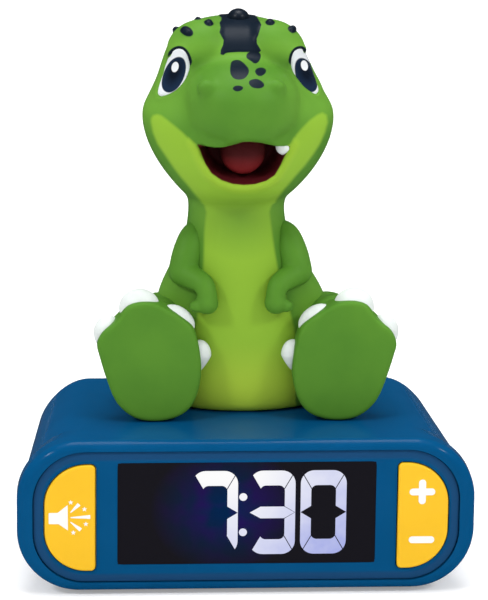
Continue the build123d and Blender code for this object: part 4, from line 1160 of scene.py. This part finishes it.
# colours laid over the green, from the first to the last, the toy's paint and painted light and shade: field,
# colour, half the width of its soft edge
sprayAndPaintedLight = (
    ("lighterGreenAndPaintedLight", figure["light"], 4.0), ("palePaint", figure["belly"], 0.55),
    ("amberPaint", figure["amber"], 4.0), ("paintedThroatShade", figure["throat"], 4.0),
    ("lipPaint", figure["lip"], 0.8), ("navyPaint", figure["navy"], 0.10),
    ("mouthPaint", figure["maroon"], 0.15),
)
skinTree = makeSkin()
limbFinish = vinyl("limbVinyl", ())


eyeLook = {
    "cloud": (300.0, 2.0), "whites": ((0.70, 0.73, 0.76), (0.76, 0.79, 0.82)),
    "irises": ((0.010, 0.022, 0.050), (0.005, 0.009, 0.018)), "glint": (0.78, 0.80, 0.82),
    "gloss": (0.14, 0.22), "specular": 0.10,
    # where each painted disc starts and is full, in millimetres inside its edge
    "edges": {"pupil": (-0.8, 1.4), "iris": (-0.1, 0.1), "glint": (-0.08, 0.08)},
    # the curve through the skin behind an eye: size of its steps, and its highest power
    "fitHalf": (6.0, 9.0), "fitPower": 4,
}


def eyeMaterial():
    # painted eye: white, navy iris with a dark middle, and a white glint
    made, tree, place, surface = blank("eyePaint")

    def disc(word):
        return ranged(tree, attributeValue(tree, word + "Paint"), 0.0, 1.0, *eyeLook["edges"][word])

    cloud = noise(tree, place, *eyeLook["cloud"])
    white = blended(tree, cloud, *eyeLook["whites"])
    iris = blended(tree, disc("pupil"), *eyeLook["irises"])
    colour = blended(tree, disc("iris"), white, iris)
    colour = blended(tree, disc("glint"), colour, eyeLook["glint"])
    gloss = ranged(tree, cloud, *eyeLook["gloss"])
    shine = eyeLook["specular"]
    setInputs(tree, surface, {"Base Color": colour, "Roughness": gloss, "Specular IOR Level": shine})
    return made


def ellipseDepth(u, v, middle, half, turn):
    a, b = turnedBack(u - middle[0], v - middle[1], turn)
    return (1 - np.hypot(a / half[0], b / half[1])) * min(half)


def skinDepth(u, v, middle):
    # depth of the skin behind each point, fitted with a smooth curve in u and v
    depth = np.array([lookedUp(skinTree, x, z, "eyes").y for x, z in zip(u, v)])
    a, b = ((w - m) / half for w, m, half in zip((u, v), middle, eyeLook["fitHalf"]))
    powers = range(eyeLook["fitPower"] + 1)
    terms = np.stack([a ** i * b ** j for i in powers for j in powers if i + j < len(powers)], axis=1)
    return terms @ np.linalg.lstsq(terms, depth, rcond=None)[0]


def makeEye(index, side, word, finish):
    # lens that fills the eye opening and follows the head's curve
    outline = rounded(face["eyes"][index], 6)
    middle = outline.mean(axis=0)
    rim = outline - middle
    angle = np.arctan2(rim[:, 1], rim[:, 0])
    order = np.argsort(angle)
    angle = np.concatenate([angle[order] + turn for turn in (-2 * math.pi, 0, 2 * math.pi)])
    reach = np.tile(np.hypot(*rim.T)[order], 3)
    ball = bmesh.new()
    bmesh.ops.create_uvsphere(ball, u_segments=96, v_segments=48, radius=1.0)
    mesh = meshOf(ball, "eye")
    unit = points(mesh)
    rho = np.clip(np.hypot(unit[:, 0], unit[:, 1]), 0, 1)
    theta = np.arctan2(unit[:, 1], unit[:, 0])
    r = np.interp(theta, angle, reach) * rho
    u, v = middle[0] + r * np.cos(theta), middle[1] + r * np.sin(theta)
    depth = skinDepth(u, v, middle)
    px, py, pz = viewer()
    share = (depth - py) / (sheets["eyes"] - py)
    co = np.stack([px + (u - px) * share, depth, pz + (v - pz) * share], axis=1)
    dome = np.sqrt(np.clip(1 - rho ** 2, 0, 1))
    height = np.where(unit[:, 2] > 0, face["bulge"] * dome ** face["bulgePower"], -face["back"] * dome)
    out = np.array(face["facing"]) * (side, 1, 1)
    setPoints(mesh, co + out * height[:, None])
    ix, iz, halfX, halfZ, tilt = face["iris"][index]
    inward, up = face["pupilShift"]
    pupilHalf = (halfX * face["pupilShare"], halfZ * face["pupilShare"])
    paintField(mesh, "irisPaint", ellipseDepth(u, v, (ix, iz), (halfX, halfZ), tilt))
    paintField(mesh, "pupilPaint", ellipseDepth(u, v, (ix - inward * side, iz + up), pupilHalf, tilt))
    paintField(mesh, "glintPaint", ellipseDepth(u, v, face["glint"][index], face["glintHalf"], tilt * 0.5))
    bm = bmesh.new()
    bm.from_mesh(mesh)
    outward(bm).to_mesh(mesh)
    bm.free()
    shiftedMesh(mesh, figure["headShift"])
    addSided("Eye", word, mesh, finish)


eyeFinish = eyeMaterial()
for index, (side, word) in enumerate(sides):
    makeEye(index, side, word, eyeFinish)

mouthParts = {
    "tongue": ((0.9, -14.6, 158.8), (8.3, 8.6, 9.2), (-10, 0, 0), 5),
    "groove": 0.5, "grooveHalf": 1.6, "grooveBack": 4.0,
    # spot of the lip that the tooth hangs from; the tooth: x, depth behind the lip, z, radius
    "lip": (14.8, 163.4),
    "tooth": ((15.3, 3.6, 165.4, 3.3), (15.3, 3.4, 163.0, 3.2), (15.3, 3.2, 160.5, 3.0)),
    # painted shade on the tongue: dark and red colours, and the heights in metres between which the dark
    # gives way to red
    "dark": (0.060, 0.008, 0.009), "red": (0.240, 0.018, 0.020), "tongueShadeHeights": (0.1495, 0.1580),
    "redCloud": (0.85, 1.1), "redSpecular": 0.05,
    "grain": {"rough": (0.42, 0.55), "cloudScale": 160.0, "grainScale": 1500.0, "grainStrength": 0.3},
    "bone": {"colour": (0.74, 0.79, 0.77), "shade": 0.88, "rough": (0.34, 0.46), "cloudScale": 150.0,
             "specular": 0.12},
}


def tongueMaterial():
    # painted shade: dark at the top, deep in the mouth under the upper lip, brighter red lower down at the
    # tip
    made, tree, place, surface = blank("tongueRed")
    cloud = grained(tree, place, surface, mouthParts["grain"])
    height = node(tree, "ShaderNodeSeparateXYZ", {0: place}).outputs["Z"]
    tip = ranged(tree, height, 1.0, 0.0, *mouthParts["tongueShadeHeights"])
    mixed = worked(tree, "MULTIPLY", tip, ranged(tree, cloud, *mouthParts["redCloud"]), use_clamp=True)
    colour = blended(tree, mixed, mouthParts["dark"], mouthParts["red"])
    setInputs(tree, surface, {"Base Color": colour, "Specular IOR Level": mouthParts["redSpecular"]})
    return made


def makeTongue():
    x, y = mouthParts["tongue"][0][:2]
    mesh = meshOf(egg(*mouthParts["tongue"]), "tongue")
    co = points(mesh)
    groove = np.exp(-((co[:, 0] - x) / mouthParts["grooveHalf"]) ** 2)
    co[:, 1] += groove * (co[:, 1] < y + mouthParts["grooveBack"]) * mouthParts["groove"]
    setPoints(mesh, co)
    shiftedMesh(mesh, figure["headShift"])
    addMesh("figureTongue", mesh, tongueMaterial(), ("figure_tongue",))


def makeTooth():
    lipDepth = lookedUp(skinTree, *mouthParts["lip"], "mouth").y
    path = [(x, lipDepth + back, z, radius) for x, back, z, radius in mouthParts["tooth"]]
    mesh = shiftedMesh(meshOf(limb(path, 4, 24), "tooth"), figure["headShift"])
    addMesh("figureTooth", mesh, boneFinish, ("figure_tooth",))


boneFinish = plastic("boneWhite", mouthParts["bone"])
makeTongue()
makeTooth()
print("the head has its eyes, tongue and tooth")

arm = {
    "shift": -0.9,
    "upper": ((13.6, 4.0, 125.4, 3.2), (17.2, 1.2, 122.8, 4.5), (19.2, -1.4, 117.0, 5.4),
              (20.9, -3.6, 110.4, 5.4)),
    "fore": (
        (20.9, -3.8, 110.0, 5.0), (17.2, -7.6, 109.0, 4.3), (13.8, -10.8, 107.4, 3.9),
        (12.5, -12.2, 104.2, 3.6), (12.5, -12.6, 100.9, 4.2),
    ),
    "thumb": ((16.2, -12.8, 99.8), (2.8, 2.8, 2.3)),
    "voxel": 0.6, "relax": 4,
}
leg = {
    # outline of a sole, in x and z
    "sole": (
        (46.3, 97.2), (43.3, 101.4), (38.5, 103.0), (32.9, 102.3), (28.6, 100.2), (24.4, 97.6), (20.0, 93.8),
        (18.2, 89.0), (17.0, 83.4), (16.6, 75.4), (18.6, 66.4), (23.2, 60.7), (31.5, 58.2), (40.5, 59.4),
        (47.2, 65.2), (51.0, 74.5), (53.6, 83.4), (54.3, 87.2), (52.3, 91.8), (48.9, 94.6),
    ),
    "front": -20.0, "thick": 11.0, "edge": 1.2,
    "thigh": ((30.5, 5.0, 79.0), (16.5, 21.0, 20.6)), "shin": ((33.0, -2.0, 88.0), (12.5, 14.0, 12.6)),
    # centre, radii, turn about the depth axis, how pointed the lower end is
    "claws": (
        ((38.9, -13.2, 99.6), (7.4, 5.2, 6.9), 6, 0.0), ((24.9, -13.4, 95.0), (6.9, 4.6, 4.6), -38, 0.0),
        ((50.6, -13.2, 90.5), (4.9, 4.6, 6.2), -16, 0.15), ((16.9, -12.8, 81.3), (4.2, 3.8, 5.8), 0, 0.55),
    ),
    "voxel": 0.7, "relax": 4,
}


def makeArm(side, word):
    parts = [limb(arm["upper"]), limb(arm["fore"]), egg(*arm["thumb"])]
    mesh = onSide(fused(parts, "arm", arm["voxel"], arm["relax"]), side, arm["shift"])
    addSided("Arm", word, mesh, limbFinish)


def footShape():
    bm = flatShape(through([*leg["sole"], leg["sole"][0]], 3)[:-1])
    thickened(bm, leg["front"], leg["thick"])
    rims = [e for e in bm.edges if abs(e.verts[0].co.y - e.verts[1].co.y) < 1e-6]
    return bevelled(bm, rims, leg["edge"], 3)


def makeLeg(side, word):
    mesh = fused([footShape(), egg(*leg["thigh"]), egg(*leg["shin"])], "leg", leg["voxel"], leg["relax"])
    mesh = onSide(seated(mesh, figure["seat"]), side, figure["footShift"])
    addSided("Leg", word, mesh, limbFinish)


def makeClaws(side, word):
    claws = []
    for centre, radii, turn, point in leg["claws"]:
        claw = egg((0, 0, 0), radii)
        for vert in claw.verts:
            narrow = 1 - point * max(0.0, -vert.co.z / radii[2])
            vert.co.x *= narrow
            vert.co.y *= narrow
        place = Matrix.Translation(centre) @ rotation(turn, "Y")
        bmesh.ops.transform(claw, verts=claw.verts[:], matrix=place)
        claws.append(claw)
    mesh = onSide(meshOf(joined(claws), "claws"), side, figure["footShift"])
    addSided("Claws", word, mesh, boneFinish)


for side, word in sides:
    makeArm(side, word)
    makeLeg(side, word)
    makeClaws(side, word)

# the tail's path: x, y, z, radius
tail = ((0.0, 22.0, 70.0, 12.5), (0.0, 31.0, 66.0, 8.6), (1.8, 36.6, 68.5, 6.0), (3.6, 38.8, 75.0, 3.8),
        (4.4, 39.2, 80.6, 2.2))


def makeTail():
    mesh = seated(softened(meshOf(limb(tail), "tail"), "tail", 3), figure["tailSeat"])
    shiftedMesh(mesh, figure["footShift"])
    addMesh("figureTail", mesh, limbFinish, ("figure_tail",))


makeTail()

scutes = {
    # spine from the crown down the back: depth and height
    "spine": (
        (6.5, 202.2), (15.5, 198.0), (22.0, 192.5), (25.6, 184.5), (26.2, 175.5), (24.6, 166.0),
        (22.0, 157.0), (20.4, 148.0), (20.2, 139.0), (21.4, 130.0), (23.2, 121.0), (25.6, 112.0),
        (27.8, 103.0), (29.6, 94.0), (30.8, 85.0),
    ),
    "half": (3.7, 4.6, 3.4), "firstSize": 1.12, "sink": 0.6,
    "look": {"colour": figure["navy"], "shade": 0.85, "rough": (0.34, 0.44), "grainStrength": 0.25,
             "specular": 0.2},
}


def makeScutes():
    # row of soft plates, each leaning on the spine
    line = np.array(scutes["spine"])
    plates = []
    for k, ((y, z), (dy, dz)) in enumerate(zip(line, np.gradient(line, axis=0))):
        size = 1.0 if k else scutes["firstSize"]
        along, away = Vector((0, dy, dz)).normalized(), Vector((0, -dz, dy)).normalized()
        turn = Matrix((Vector((1, 0, 0)), along, away)).transposed().to_4x4()
        centre = Vector((float(lean(z)), y, z)) - away * scutes["sink"]
        plates.append(ball(centre, turn, [half * size for half in scutes["half"]]))
    finish = plastic("navyVinyl", scutes["look"])
    mesh = meshOf(outward(joined(plates)), "scutes")
    addMesh("figureScutes", mesh, finish, ("dorsal_scutes",))


makeScutes()
print("the figure sits on the base")
